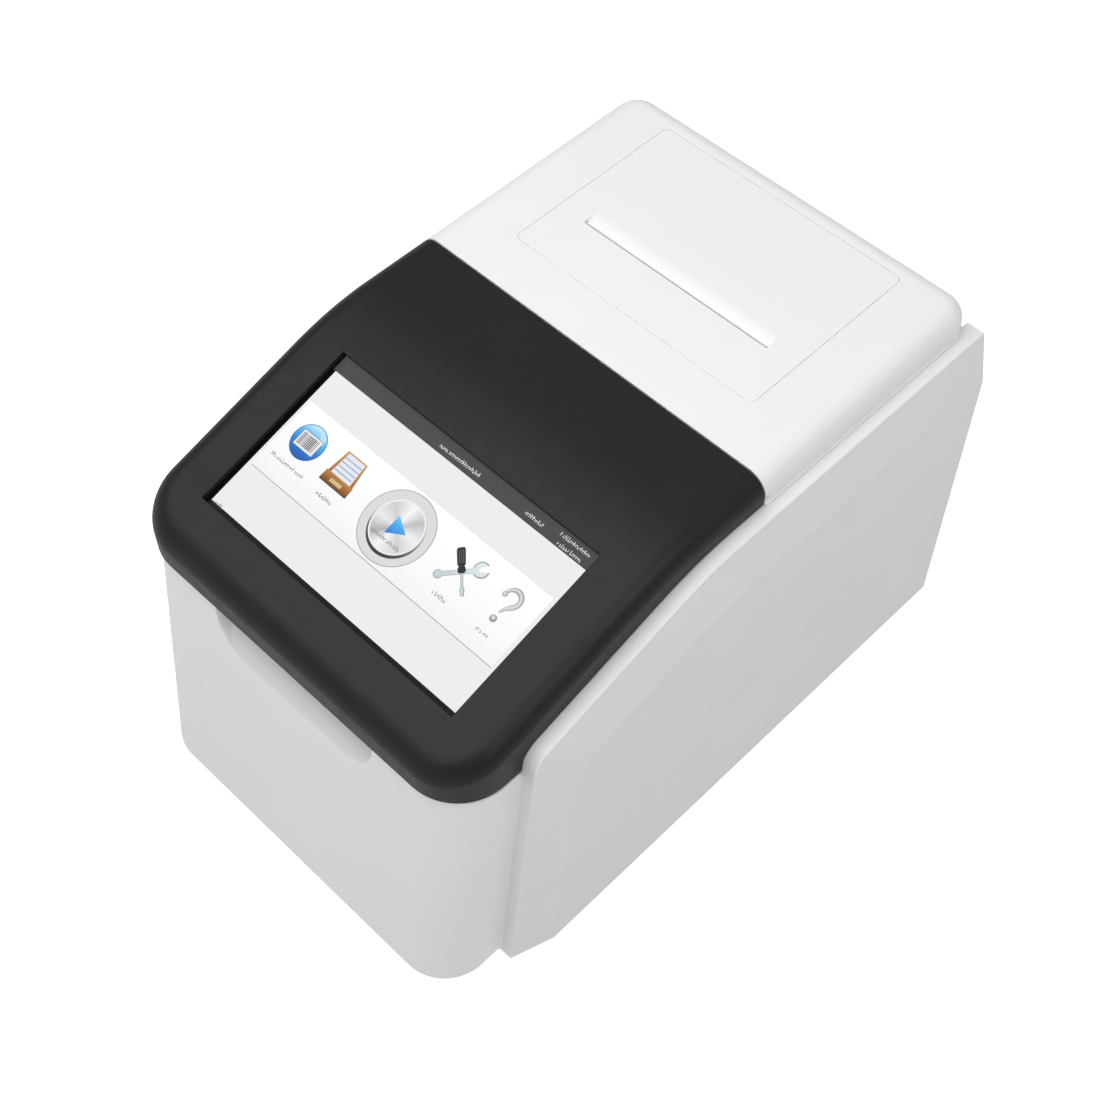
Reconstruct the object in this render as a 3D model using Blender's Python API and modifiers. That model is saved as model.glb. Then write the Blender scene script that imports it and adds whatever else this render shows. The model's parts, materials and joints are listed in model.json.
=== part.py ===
"""Benchtop thermal cycler with a touch-screen lid and a built-in ticket printer.

World frame: metres, +Z up, front towards -Y, origin on the table under the middle of the object.
"front" distances run backwards from the foremost edge of the shell and "height" is counted from
the underside of the shell, which stands on four feet.
"""
import math

import bmesh
import bpy
from mathutils import Matrix, Vector

# ---------------------------------------------------------------- driving dimensions, metres
OVERALL_WIDTH = 0.242        # over the two side panels
OVERALL_DEPTH = 0.350
SHELL_HEIGHT = 0.2124        # underside of the shell to the flat top
FOOT_HEIGHT = 0.005

CORE_WIDTH = 0.2134          # lid, front panel and rear cover
LEDGE_WIDTH = 0.0071         # flat ledge along the top of each side panel
LEDGE_HEIGHT = 0.1962
FACET_TOP = 0.025            # facets between the ledge and the flat main face of a side panel
FACET_FRONT = 0.022
FACET_REAR = 0.003
FACET_INNER = 0.001          # facets inside the hollow against those outside

SEAM = 0.2013                # lid's rear face
SEAM_GAP = 0.0008
SCREEN_SLOPE = math.radians(17.4)
SLOPE_START = 0.1418         # where the plane of the screen would meet the flat top
SLOPE_BLEND = 0.022          # half length of the soft bend
LID_SIDE = 0.0215            # height of the lid's side along the slope
LID_NOSE = 0.0168            # lid's foremost edge
LIP_HEIGHT = 0.152           # lower edge of the lid at the front
LID_CORNER = 0.027           # plan radius of the lid's front corners
LID_EDGE = 0.0105            # rounding along the top edges
LID_WALL = 0.003

FRONT_LEAN = 0.13            # run per rise of the front panel
PANEL_CORNER = 0.025
SIDE_LEAN = 0.115            # run per rise of the side panels' front ends
SIDE_START = 0.0367          # foot of the side panels' front ends
SIDE_SHOULDER = 0.013        # rounding where that end meets the sloping ledge
FRONT_PANEL_TOP = 0.150

SCREEN_WIDTH = 0.160         # opening in the lid
SCREEN_LENGTH = 0.0911       # along the slope
SCREEN_FRONT = 0.0407        # its lower edge

SCOOP_WIDTH = 0.104
SCOOP_BOTTOM = 0.124
SCOOP_DEPTH = 0.012

DOOR_WIDTH = 0.1466
DOOR_FRONT = 0.2302
DOOR_REAR = 0.3358
DOOR_CORNER = 0.003
DOOR_GAP = 0.0004
DOOR_TAPER = 0.0013          # the door's edge leans in under its top face
SLOT_WIDTH = 0.1134
SLOT_FRONT = 0.2597
SLOT_REAR = 0.2693

WALL = 0.0025                # general wall of covers and tubs
PANEL_WALL = 0.003           # wall of the front and side panels
CLEAR = 0.0004               # between pieces that touch
SIT = 0.0003                 # between stacked pieces

COVER_CORNER = 0.014         # plan radius of the rear cover's rear corners
COVER_SETBACK = 0.0006       # rear cover in front of the side panels' rear edges
SEAM_ROUND = 0.0014          # rounding along the rear cover's front edge

HINGE_SETBACK = 0.016        # lid axis behind the seam
HINGE_KNUCKLE = 0.003
HINGE_PIN = 0.0014
HINGE_X = 0.070
HINGE_ARM_WIDTH = 0.010
DOOR_SETBACK = 0.0085        # door axis in front of the door's front edge
DOOR_KNUCKLE = 0.0022
DOOR_PIN = 0.0010
DOOR_ARM_X = 0.048
DOOR_ARM_WIDTH = 0.006
BORE_CLEAR = 0.0003

WELL_ROWS = 2
WELL_COLUMNS = 8
WELL_PITCH = 0.009
WELL_RADIUS = 0.0032
WELL_TIP = 0.0013
WELL_DEPTH = 0.0155
BLOCK_MIDDLE = 0.100         # front distance of the middle of the sample block
BLOCK_EDGE = 0.003           # metal beyond the outermost wells' pitch cells
BLOCK_TOP = 0.150
BLOCK_BOTTOM = 0.128
DECK_FLOOR = 0.139

ROLL_RADIUS = 0.021
ROLL_WIDTH = 0.110
ROLL_BORE = 0.006
PLATEN_RADIUS = 0.005
FAN_SIZE = 0.080
FAN_DEPTH = 0.025
FOOT_RADIUS = 0.009
FOOT_TIP_RADIUS = 0.0081

SCOOP_CORNER = 0.020
SCOOP_ABOVE = 0.010          # scoop's cutter in front of and above the panel
SCOOP_BACKING = 0.016        # height of the upright wall behind the scoop

LID_TRAY_SEAT = 0.001        # lid's floor above its lower edge
LID_TRAY_REAR = 0.0135       # its rear edge in front of the seam
GLASS_OVERLAP = 0.0015       # beyond the opening
GLASS_THICK = 0.002
DISPLAY_OVERLAP = 0.0005
DISPLAY_THICK = 0.005
DISPLAY_BOARD_GAP = 0.0012
DISPLAY_BOARD_MARGIN = 0.012
BOARD_THICK = 0.0016

HINGE_DIP = 0.0178           # arm's drop below its axis
HINGE_BAR = 0.004
HINGE_PAD = 0.013            # arm's seat under the lid's skin
HINGE_PAD_GAP = 0.001
HINGE_LEAF = 0.0025
HINGE_LEAF_GAP = 0.0006
HINGE_FOOT = 0.0085
HINGE_FOOT_THICK = 0.0018
BRACKET_WAIST = 0.003        # upright edge of an ear above its foot
PIN_PROUD = 0.001
ARM_SLOT_CLEAR = 0.001       # round the arms where they pass the rear cover
BEAM_TOP = 0.1818
BEAM_DROP = 0.016
BEAM_THICK = 0.002
BEAM_FRONT = 0.006           # behind the seam
BEAM_REAR = 0.030

SLOT_THROAT = 0.0032         # slot at the door's underside
SLOT_HEEL = 0.0008
DOOR_DIP = 0.0105
DOOR_BAR = 0.0024
DOOR_PAD = 0.008
DOOR_ARM_CLEAR = 0.0012
DOOR_ARM_SUNK = 0.0004       # arm's pad into the door's underside
DOOR_LEAF = 0.002
DOOR_LEAF_GAP = 0.0005
DOOR_FOOT = 0.006
DOOR_FOOT_DROP = 0.0137      # top of the bracket's foot below the door's axis

BAY_HALF = 0.069
BAY_SETBACK = 0.0108         # behind the door's front edge, clear of the door's swinging arms
BAY_REAR_INSET = 0.0078
BAY_DROP = 0.0062            # below the top
ROLL_CLEAR = 0.0015
ROLL_LIFT = 0.001
PLATEN_SETBACK = 0.0022      # behind the slot's front edge
PLATEN_DROP = 0.0020
SPINDLE_CLEAR = 0.0005
HEAD_WIDTH = 0.076
HEAD_HEIGHT = 0.012
PLATEN_SHORT = 0.001         # platen's end inside the paper's edge
PLATEN_SHAFT = 0.0015
GEAR_TEETH = 16
PINION_TEETH = 8
GEAR_MODULE = 0.0008
GEAR_X = 0.0605
GEAR_WIDTH = 0.004
TOOTH_ROOT = 0.30            # half widths of a tooth, in pitches
TOOTH_TIP = 0.14
TOOTH_REACH = 0.85           # tip and root from the pitch circle, in modules
PINION_TURN = math.radians(41.41)   # motor gear below and in front of the platen
MOTOR_RADIUS = 0.0056
MOTOR_LENGTH = 0.014
MOTOR_STANDOFF = 0.0055
MOTOR_SHAFT = 0.0010
MOTOR_SHAFT_LENGTH = 0.006
MOTOR_BORE_MIDDLE = 0.006    # middle of the motor's bore from the pinion

DECK_UNDER_LIP = 0.0012
DECK_SEAM_GAP = 0.0185
DECK_NOTCH = 0.0014
BLOCK_HOLE_CLEAR = 0.003
BLOCK_EXTRA_DEPTH = 0.001
BLOCK_PROUD = 0.003
COLLAR_RIM = 0.008
PELTIER_SHORT = 0.004
PELTIER_THICK = 0.004
SINK_WIDTH = 0.096
SINK_DEPTH = 0.060
SINK_BASE = 0.009
FIN_COUNT = 13
FIN_THICK = 0.0016
FIN_REACH = 0.050

PRESS_MARGIN = 0.004         # plate beyond the block
PRESS_RISE = 0.011           # plate above the block
PRESS_THICK = 0.0055
PRESS_CLEAR = 0.0006
PRESS_PROUD = 0.0020         # plate below its housing
HOUSING_WALL = 0.003
POCKET_DEPTH = 0.006
POCKET_RADIUS = 0.0042
SPRING_WIRE = 0.0004
SPRING_TURNS = 3
SPRING_CLEAR = 0.0011
SPRING_INSET_X = 0.008
SPRING_INSET_Y = 0.0055
GASKET_THICK = 0.0012
MAGNET_WIDTH = 0.050
MAGNET_DEPTH = 0.008
MAGNET_HEIGHT = 0.003
MAGNET_FRONT = LID_NOSE + 0.0142
KEEPER_WIDTH = 0.054
KEEPER_DEPTH = 0.0048
KEEPER_THICK = 0.0008

TRAY_HEIGHT = 0.014
FOOT_X = 0.088
FOOT_INSET = 0.034
REAR_PANEL_FRONT = OVERALL_DEPTH - 0.0066
REAR_PANEL_LIFT = 0.0005
VENT_COUNT = 9
VENT_LOW = 0.128
VENT_PITCH = 0.0065
VENT_WIDTH = 0.110
VENT_RADIUS = 0.0014
GRILLE_COUNT = 9
GRILLE_PITCH = 0.0078
GRILLE_SHARE = 0.46          # grille's radius, in fan sizes
GRILLE_RADIUS = 0.0022

# rear sockets: half width and half height of each piece
INLET_X, INLET_HEIGHT = -0.070, 0.034
INLET_FLANGE = (0.0165, 0.0125)
INLET_BODY = (0.0140, 0.0100)
INLET_MOUTH = (0.0120, 0.0078)
INLET_BLADES = ((-0.007, -0.002), (0.007, -0.002), (0.0, 0.003))
BLADE = (0.001, 0.002)
INLET_DEPTH = 0.022
INLET_MOUTH_DEPTH = 0.017
BLADE_SETBACK = 0.007
FLANGE_THICK = 0.0018
SOCKET_OVERLAP = 0.0005      # bodies into their flanges
SWITCH_HEIGHT = 0.068
SWITCH_FLANGE = (0.0125, 0.0095)
SWITCH_BODY = (0.0100, 0.0070)
SWITCH_MOUTH = (0.0084, 0.0056)
SWITCH_DEPTH = 0.015
SWITCH_MOUTH_DEPTH = 0.011
ROCKER_SETBACK = 0.0035
ROCKER_SECTION = ((-0.0032, -0.0042), (-0.0032, 0.0042), (0.0030, 0.0048), (0.0040, 0.0042),
                  (0.0030, 0.0), (0.0040, -0.0042), (0.0030, -0.0048))
USB_X, USB_HEIGHT = -0.025, 0.030
USB_BODY = (0.0070, 0.0035)
USB_DEPTH = 0.014
USB_WALL = 0.0006
USB_MOUTH_DEPTH = 0.013
USB_PROUD = 0.0006

FAN_X, FAN_HEIGHT = 0.045, 0.060
FAN_RIM = 0.0025
FAN_HUB = 0.016
FAN_HUB_STEP = 0.001         # frame's boss inside the rotor's hub
FAN_HUB_SETBACK = 0.0015
STRUT = 0.003
BLADE_COUNT = 7
BLADE_THICK = 0.0014
BLADE_CHORD = 0.020
BLADE_PITCH = math.radians(48)
BLADE_SUNK = 0.002
BLADE_TIP_GAP = 0.0012

SUPPLY_X = (-0.095, -0.005)
SUPPLY_FRONT = (0.225, 0.305)
SUPPLY_TOP = 0.045
SUPPLY_SLOTS = 8
SUPPLY_SLOT_MARGIN = 0.013
SUPPLY_SLOT_PITCH = 0.009
SUPPLY_SLOT_WIDTH = 0.003
SUPPLY_SLOT_END = 0.020
SUPPLY_SLOT_DEPTH = 0.003
BOARD_HALF = 0.085
BOARD_FRONT = (0.062, 0.205)
BOARD_LOW = 0.014
BOARD_SUNK = 0.0004          # components and posts into the board
BOARD_LUMPS = ((-0.050, 0.100, 0.024, 0.024, 0.003), (0.010, 0.095, 0.016, 0.016, 0.002),
               (0.050, 0.150, 0.010, 0.030, 0.012), (-0.060, 0.170, 0.030, 0.008, 0.010),
               (0.000, 0.160, 0.012, 0.012, 0.014))   # x, front, width, depth, height
POST_INSET = 0.006
POST_RADIUS = 0.003

EDGE_ROUND = 0.0008
PAST = 0.002                 # cutters run this far past what they cut
JOIN_STEP = 0.0001           # keeps the faces of joined solids apart

# ---------------------------------------------------------------- sizes that follow from them
HALF_CORE = CORE_WIDTH / 2
RISE = math.tan(SCREEN_SLOPE)
SKIN_UNDER = SHELL_HEIGHT - WALL
SHELF_REAR = FRONT_LEAN * FRONT_PANEL_TOP + SCOOP_DEPTH + 2 * PANEL_WALL
DECK_FRONT = SHELF_REAR + CLEAR
DECK_REAR = SEAM - DECK_SEAM_GAP
BAY_FRONT = DOOR_FRONT + BAY_SETBACK
BAY_REAR = DOOR_REAR - BAY_REAR_INSET
BAY_TOP = SHELL_HEIGHT - BAY_DROP
ROLL_FRONT = BAY_REAR - WALL - ROLL_RADIUS - ROLL_CLEAR
ROLL_HEIGHT = BAY_TOP - ROLL_RADIUS - ROLL_CLEAR
BAY_FLOOR = ROLL_HEIGHT - ROLL_RADIUS - ROLL_LIFT
PLATEN_FRONT = SLOT_FRONT + PLATEN_SETBACK
PLATEN_HEIGHT = BAY_TOP - PLATEN_RADIUS - PLATEN_DROP
PRESS_LOW = BLOCK_TOP + PRESS_RISE
PRESS_HIGH = PRESS_LOW + PRESS_THICK
POCKET_TOP = PRESS_HIGH + POCKET_DEPTH
BLOCK_HALF_X = WELL_COLUMNS * WELL_PITCH / 2 + BLOCK_EDGE
BLOCK_HALF_Y = WELL_ROWS * WELL_PITCH / 2 + BLOCK_EDGE + BLOCK_EXTRA_DEPTH
PRESS_HALF_X = BLOCK_HALF_X + PRESS_MARGIN
PRESS_HALF_Y = BLOCK_HALF_Y + PRESS_MARGIN

FINISHES = {
    "white_shell": ((0.86, 0.86, 0.87), 0.38, 0.0),
    "grey_shell": ((0.70, 0.70, 0.71), 0.45, 0.0),
    "black_shell": ((0.035, 0.035, 0.038), 0.42, 0.0),
    "dark_plastic": ((0.06, 0.06, 0.065), 0.5, 0.0),
    "grey_plastic": ((0.30, 0.31, 0.33), 0.5, 0.0),
    "glass": ((0.03, 0.03, 0.035), 0.08, 0.0),
    "steel": ((0.60, 0.61, 0.62), 0.32, 1.0),
    "aluminium": ((0.78, 0.79, 0.80), 0.35, 1.0),
    "ceramic": ((0.85, 0.84, 0.80), 0.6, 0.0),
    "board": ((0.03, 0.20, 0.09), 0.5, 0.0),
    "paper": ((0.93, 0.92, 0.89), 0.85, 0.0),
    "rubber": ((0.04, 0.04, 0.04), 0.8, 0.0),
}


# ---------------------------------------------------------------- frame and outline helpers
def place(x, front, height):
    """A world point from a sideways place, a distance from the front and a height in the shell."""
    return Vector((x, front - OVERALL_DEPTH / 2, height + FOOT_HEIGHT))


def bent(front, level, start):
    """Height of a line that is level at the back and slopes down in front of start."""
    ahead = start - front
    if ahead <= -SLOPE_BLEND:
        return level
    if ahead >= SLOPE_BLEND:
        return level - RISE * ahead
    return level - RISE * (ahead + SLOPE_BLEND) ** 2 / (4 * SLOPE_BLEND)


def lid_top(front):
    return bent(front, SHELL_HEIGHT, SLOPE_START)


LEDGE_START = SLOPE_START + (LID_SIDE - (SHELL_HEIGHT - LEDGE_HEIGHT)) / RISE


def ledge(front):
    return bent(front, LEDGE_HEIGHT, LEDGE_START)


def side_front(height):
    """Front distance of the side panels' leaning front ends."""
    return SIDE_START + SIDE_LEAN * height


def shoulder():
    """Centre (front, height) of the rounding between the front end and the sloping ledge."""
    run = SIDE_SHOULDER * math.sqrt(1 + SIDE_LEAN ** 2)
    drop = SIDE_SHOULDER / math.cos(SCREEN_SLOPE)
    slope_level = LEDGE_HEIGHT - RISE * LEDGE_START - drop
    height = (slope_level + RISE * (SIDE_START + run)) / (1 - RISE * SIDE_LEAN)
    return side_front(height) + run, height


SHOULDER_FRONT, SHOULDER_HEIGHT = shoulder()


def lid_lip(front):
    """Height of the lid's lower edge: over the ledge, round the shoulder, level at the front."""
    reach = SIDE_SHOULDER + CLEAR
    ahead = SHOULDER_FRONT - front
    if ahead >= reach:
        return LIP_HEIGHT
    if ahead <= reach * math.sin(SCREEN_SLOPE):
        return ledge(front) + CLEAR
    return SHOULDER_HEIGHT + math.sqrt(reach ** 2 - ahead ** 2)


def arc(middle, radius, first, last, steps):
    """Points on a circle, angles in degrees."""
    points = []
    for step in range(steps + 1):
        angle = math.radians(first + (last - first) * step / steps)
        points.append((middle[0] + radius * math.cos(angle), middle[1] + radius * math.sin(angle)))
    return points


def spread(first, last, steps):
    return [first + (last - first) * step / steps for step in range(steps + 1)]


def rounded_rectangle(half_width, low, high, radius, steps=5):
    right, left = half_width - radius, radius - half_width
    return (arc((right, high - radius), radius, 0, 90, steps)
            + arc((left, high - radius), radius, 90, 180, steps)
            + arc((left, low + radius), radius, 180, 270, steps)
            + arc((right, low + radius), radius, 270, 360, steps))


# ---------------------------------------------------------------- mesh helpers
def box_mesh(low, high):
    low, high = Vector(low), Vector(high)
    mesh = bmesh.new()
    size = Matrix.Diagonal((*(high - low), 1.0))
    bmesh.ops.create_cube(mesh, size=1.0, matrix=Matrix.Translation((low + high) / 2) @ size)
    return mesh


def shell_box(x_low, x_high, front_low, front_high, low, high):
    return box_mesh(place(x_low, front_low, low), place(x_high, front_high, high))


def rod_mesh(middle, axis, radius, length, sides=32, end_radius=None):
    """A cylinder, or a cone that ends at end_radius, along the X, Y or Z axis."""
    turn = {"X": Matrix.Rotation(math.pi / 2, 4, "Y"), "Y": Matrix.Rotation(-math.pi / 2, 4, "X"),
            "Z": Matrix.Identity(4)}[axis]
    mesh = bmesh.new()
    bmesh.ops.create_cone(mesh, cap_ends=True, segments=sides, radius1=radius,
                          radius2=radius if end_radius is None else end_radius, depth=length,
                          matrix=Matrix.Translation(middle) @ turn)
    return mesh


def prism_mesh(outline, near, far, lift):
    """Extrudes a flat outline; lift turns an outline point and a depth into a world point."""
    mesh = bmesh.new()
    face = mesh.faces.new([mesh.verts.new(lift(a, b, near)) for a, b in outline])
    grown = bmesh.ops.extrude_face_region(mesh, geom=[face])
    move = lift(0, 0, far) - lift(0, 0, near)
    bmesh.ops.translate(mesh, vec=move, verts=[v for v in grown["geom"] if isinstance(v, bmesh.types.BMVert)])
    return mesh


def side_prism(outline, x_low, x_high):
    """Extrudes an outline of (front, height) points across the object."""
    return prism_mesh(outline, x_low, x_high, lambda front, height, x: place(x, front, height))


def plan_prism(outline, low, high):
    """Extrudes an outline of (x, front) points upwards."""
    return prism_mesh(outline, low, high, lambda x, front, height: place(x, front, height))


def back_prism(outline, front_low, front_high):
    """Extrudes an outline of (x, height) points backwards."""
    return prism_mesh(outline, front_low, front_high, lambda x, height, front: place(x, front, height))


def bridge(mesh, rings):
    """Joins equal closed rings of points with quads and returns the rings of vertices."""
    loops = [[mesh.verts.new(point) for point in ring] for ring in rings]
    for lower, upper in zip(loops, loops[1:]):
        for i in range(len(lower)):
            j = (i + 1) % len(lower)
            mesh.faces.new((lower[i], lower[j], upper[j], upper[i]))
    return loops


def loft_mesh(rings):
    mesh = bmesh.new()
    loops = bridge(mesh, rings)
    mesh.faces.new(loops[0][::-1])
    mesh.faces.new(loops[-1])
    return mesh


def cap_across(mesh, loop):
    """Closes a left-right symmetric ring with strips, so that the cap can follow a bent surface."""
    count = len(loop)
    for i in range(count // 2 - 1):
        mesh.faces.new((loop[i], loop[i + 1], loop[count - 2 - i], loop[count - 1 - i]))


def cover_mesh(half_outline, layers):
    """A cover from a half outline and layers.

    half_outline(inset) gives (x, front) points on the right side from one end to the other; each
    layer is an inset and a function that gives the height at a front distance.
    """
    rings = []
    for inset, height in layers:
        right = half_outline(inset)
        ring = [place(x, front, height(front)) for x, front in right]
        ring += [place(-x, front, height(front)) for x, front in reversed(right)]
        rings.append(ring)
    mesh = bmesh.new()
    loops = bridge(mesh, rings)
    cap_across(mesh, loops[0])
    cap_across(mesh, loops[-1])
    return mesh


# ---------------------------------------------------------------- object helpers
parts = bpy.data.collections.new("thermal_cycler")
cutters = bpy.data.collections.new("cutters")


def start_scene():
    for old in list(bpy.data.objects):
        bpy.data.objects.remove(old, do_unlink=True)
    for group in (parts, cutters):
        bpy.context.scene.collection.children.link(group)


def finish_material(name, finish):
    color, roughness, metallic = FINISHES[finish]
    made = bpy.data.materials.new(name)
    made.use_nodes = True
    shader = made.node_tree.nodes["Principled BSDF"]
    shader.inputs["Base Color"].default_value = (*color, 1.0)
    shader.inputs["Roughness"].default_value = roughness
    shader.inputs["Metallic"].default_value = metallic
    return made


def to_object(name, mesh, group, pivot):
    bmesh.ops.recalc_face_normals(mesh, faces=mesh.faces)
    bmesh.ops.translate(mesh, vec=-Vector(pivot), verts=mesh.verts)
    data = bpy.data.meshes.new(name)
    mesh.to_mesh(data)
    mesh.free()
    made = bpy.data.objects.new(name, data)
    made.location = pivot
    group.objects.link(made)
    return made


def part(name, mesh, finish, pivot=(0, 0, 0), smooth=True):
    made = to_object(name, mesh, parts, pivot)
    made.data.materials.append(finish_material(name, finish))
    if smooth:
        made.data.shade_smooth()
        made.data.set_sharp_from_angle(angle=math.radians(35))
    return made


def combine(target, mesh, operation):
    """Cuts the mesh out of the target, or joins it on."""
    tool = to_object(f"{target.name}_tool_{len(target.modifiers)}", mesh, cutters, (0, 0, 0))
    tool.hide_render = True
    tool.display_type = "WIRE"
    step = target.modifiers.new(operation.lower(), "BOOLEAN")
    step.operation = operation
    step.object = tool


def cut(target, mesh):
    combine(target, mesh, "DIFFERENCE")


def join(target, mesh):
    combine(target, mesh, "UNION")


def soften(target, width, segments=2):
    edge = target.modifiers.new("edges", "BEVEL")
    edge.width = width
    edge.segments = segments
    edge.limit_method = "ANGLE"
    edge.angle_limit = math.radians(50)


def ride_on(pivot_name, pivot, pieces):
    """Parents pieces to an empty that stands on their joint's axis."""
    empty = bpy.data.objects.new(pivot_name, None)
    empty.location = pivot
    parts.objects.link(empty)
    bpy.context.view_layer.update()
    for piece in pieces:
        piece.parent = empty
        piece.matrix_parent_inverse = Matrix.Translation(-Vector(pivot))


# ---------------------------------------------------------------- side panels
def side_outline(top_inset, front_inset, rear_inset, bottom_inset=0.0):
    """(front, height) outline of a side panel, pulled in from its ledge, front and rear edges."""
    front_line = SIDE_START + front_inset * math.sqrt(1 + SIDE_LEAN ** 2)
    rear = OVERALL_DEPTH - rear_inset
    radius = SIDE_SHOULDER
    drop = radius / math.cos(SCREEN_SLOPE)
    run = radius * math.sqrt(1 + SIDE_LEAN ** 2)
    level = LEDGE_HEIGHT - top_inset
    slope_level = level - RISE * LEDGE_START - drop
    middle_height = (slope_level + RISE * (front_line + run)) / (1 - RISE * SIDE_LEAN)
    middle = (front_line + SIDE_LEAN * middle_height + run, middle_height)
    lean = math.degrees(math.atan(SIDE_LEAN))
    outline = [(front_line + SIDE_LEAN * bottom_inset, bottom_inset)]
    outline += arc(middle, radius, 180 - lean, 90 + math.degrees(SCREEN_SLOPE), 6)
    for front in spread(LEDGE_START - SLOPE_BLEND, LEDGE_START + SLOPE_BLEND, 6):
        outline.append((front, bent(front, level, LEDGE_START)))
    outline += [(rear, level), (rear, bottom_inset)]
    return outline


def make_side_panel(name, side):
    inner = HALF_CORE - LID_WALL + CLEAR
    ledge_outer = HALF_CORE + LEDGE_WIDTH
    face = OVERALL_WIDTH / 2
    upper = side_outline(0, 0, 0)
    main = side_outline(FACET_TOP, FACET_FRONT, FACET_REAR)
    rings = [[place(side * x, front, height) for front, height in outline]
             for x, outline in ((inner, upper), (ledge_outer, upper), (face, main))]
    panel = part(name, loft_mesh(rings), "grey_shell")
    inset = PANEL_WALL
    edges = sorted((side * (inner - inset), side * (ledge_outer - inset)))
    cut(panel, side_prism(side_outline(inset, inset, inset, inset), *edges))
    facet_inset = (FACET_TOP + FACET_INNER, FACET_FRONT + FACET_INNER, FACET_REAR + FACET_INNER)
    edges = sorted((side * (inner - 2 * inset), side * (face - inset)))
    cut(panel, side_prism(side_outline(*facet_inset, 2 * inset), *edges))
    return panel


# ---------------------------------------------------------------- front panel
def front_arc(half_width, lean_front, radius, steps=6):
    """Right front corner in plan from the side to the front, as (x, front) points."""
    return arc((half_width - radius, lean_front + radius), radius, 0, -90, steps)


def front_ring(height):
    """U-shaped plan section of the front panel."""
    outer_half = HALF_CORE - SIT
    inner_half = outer_half - PANEL_WALL
    end = side_front(height) - CLEAR
    lean = FRONT_LEAN * height
    right = [(outer_half, end)] + front_arc(outer_half, lean, PANEL_CORNER)
    inner = [(inner_half, end)] + front_arc(inner_half, lean + PANEL_WALL, PANEL_CORNER - PANEL_WALL)
    outline = right + [(-x, front) for x, front in reversed(right)]
    outline += [(-x, front) for x, front in inner] + [(x, front) for x, front in reversed(inner)]
    return [place(x, front, height) for x, front in outline]


def scoop_outline():
    """(x, height) outline of the finger scoop, open above the panel's top."""
    half = SCOOP_WIDTH / 2
    right = [(half, FRONT_PANEL_TOP + SCOOP_ABOVE)]
    right += arc((half - SCOOP_CORNER, SCOOP_BOTTOM + SCOOP_CORNER), SCOOP_CORNER, 0, -90, 6)
    return right + [(-x, height) for x, height in reversed(right)]


def scoop_mesh():
    """The scoop: flush at its lower edge and deepest at the panel's top."""
    rise = FRONT_PANEL_TOP - SCOOP_BOTTOM

    def back(height):
        share = min(1.0, max(0.0, (height - SCOOP_BOTTOM) / rise))
        return FRONT_LEAN * height + SCOOP_DEPTH * math.sin(share * math.pi / 2)

    outline = scoop_outline()
    near = [place(x, -SCOOP_ABOVE, height) for x, height in outline]
    far = [place(x, back(height), height) for x, height in outline]
    return loft_mesh([near, far])


def make_front_panel():
    panel = part("front_panel", loft_mesh([front_ring(0), front_ring(FRONT_PANEL_TOP)]), "white_shell")
    middle_of_wall = PANEL_WALL / 2
    shelf_front = FRONT_LEAN * FRONT_PANEL_TOP + middle_of_wall
    inner_half = HALF_CORE - SIT - middle_of_wall
    radius = PANEL_CORNER - middle_of_wall
    start = math.degrees(math.asin(min(0.0, (SHELF_REAR - shelf_front - radius) / radius)))
    shelf = arc((inner_half - radius, shelf_front + radius), radius, start, -90, 6)
    shelf += [(-x, front) for x, front in reversed(shelf)]
    join(panel, plan_prism(shelf, FRONT_PANEL_TOP - PANEL_WALL, FRONT_PANEL_TOP - JOIN_STEP))
    backing_low = SCOOP_BOTTOM - PANEL_WALL
    backing_front = FRONT_LEAN * backing_low + middle_of_wall
    half = SCOOP_WIDTH / 2 + PANEL_WALL
    rear, top = SHELF_REAR - 2 * JOIN_STEP, FRONT_PANEL_TOP - 2 * JOIN_STEP
    outline = [(backing_front, backing_low), (rear, FRONT_PANEL_TOP - SCOOP_BACKING), (rear, top),
               (shelf_front, top)]
    join(panel, side_prism(outline, -half, half))
    cut(panel, scoop_mesh())


# ---------------------------------------------------------------- lid
def bend_fronts():
    """Front distances, rear to front, where the lid's top and lower edge turn."""
    reach = SIDE_SHOULDER + CLEAR
    fronts = spread(LEDGE_START - SLOPE_BLEND, LEDGE_START + SLOPE_BLEND, 5)
    fronts += spread(SLOPE_START - SLOPE_BLEND, SLOPE_START - SLOPE_BLEND / 3, 3)
    fronts += [SHOULDER_FRONT + 0.012, SHOULDER_FRONT - reach - 0.0005]
    turns = [SCREEN_SLOPE] + [math.radians(angle) for angle in (35, 52, 70, 89)]
    fronts += [SHOULDER_FRONT - reach * math.sin(turn) for turn in turns]
    return sorted({round(front, 6) for front in fronts}, reverse=True)


def lid_half(inset, rear=SEAM):
    """Right half of the lid in plan, rear to front, with points close together where it bends."""
    half = HALF_CORE - inset
    radius = LID_CORNER - inset
    nose = LID_NOSE + inset
    corner = front_arc(half, nose, radius, 8)
    fronts = [rear] + [front for front in bend_fronts() if nose + radius + 0.001 < front < rear - 0.001]
    return [(half, front) for front in fronts] + corner


def lid_layers(edge, shrink, low):
    """Layers from the lower edge up and over the rounded top edge."""
    layers = [(shrink, low)]
    for step in range(6):
        angle = math.radians(90 * step / 5)
        fall = shrink + edge * (1 - math.sin(angle))
        layers.append((shrink + edge * (1 - math.cos(angle)), lambda front, f=fall: lid_top(front) - f))
    return layers


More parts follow.
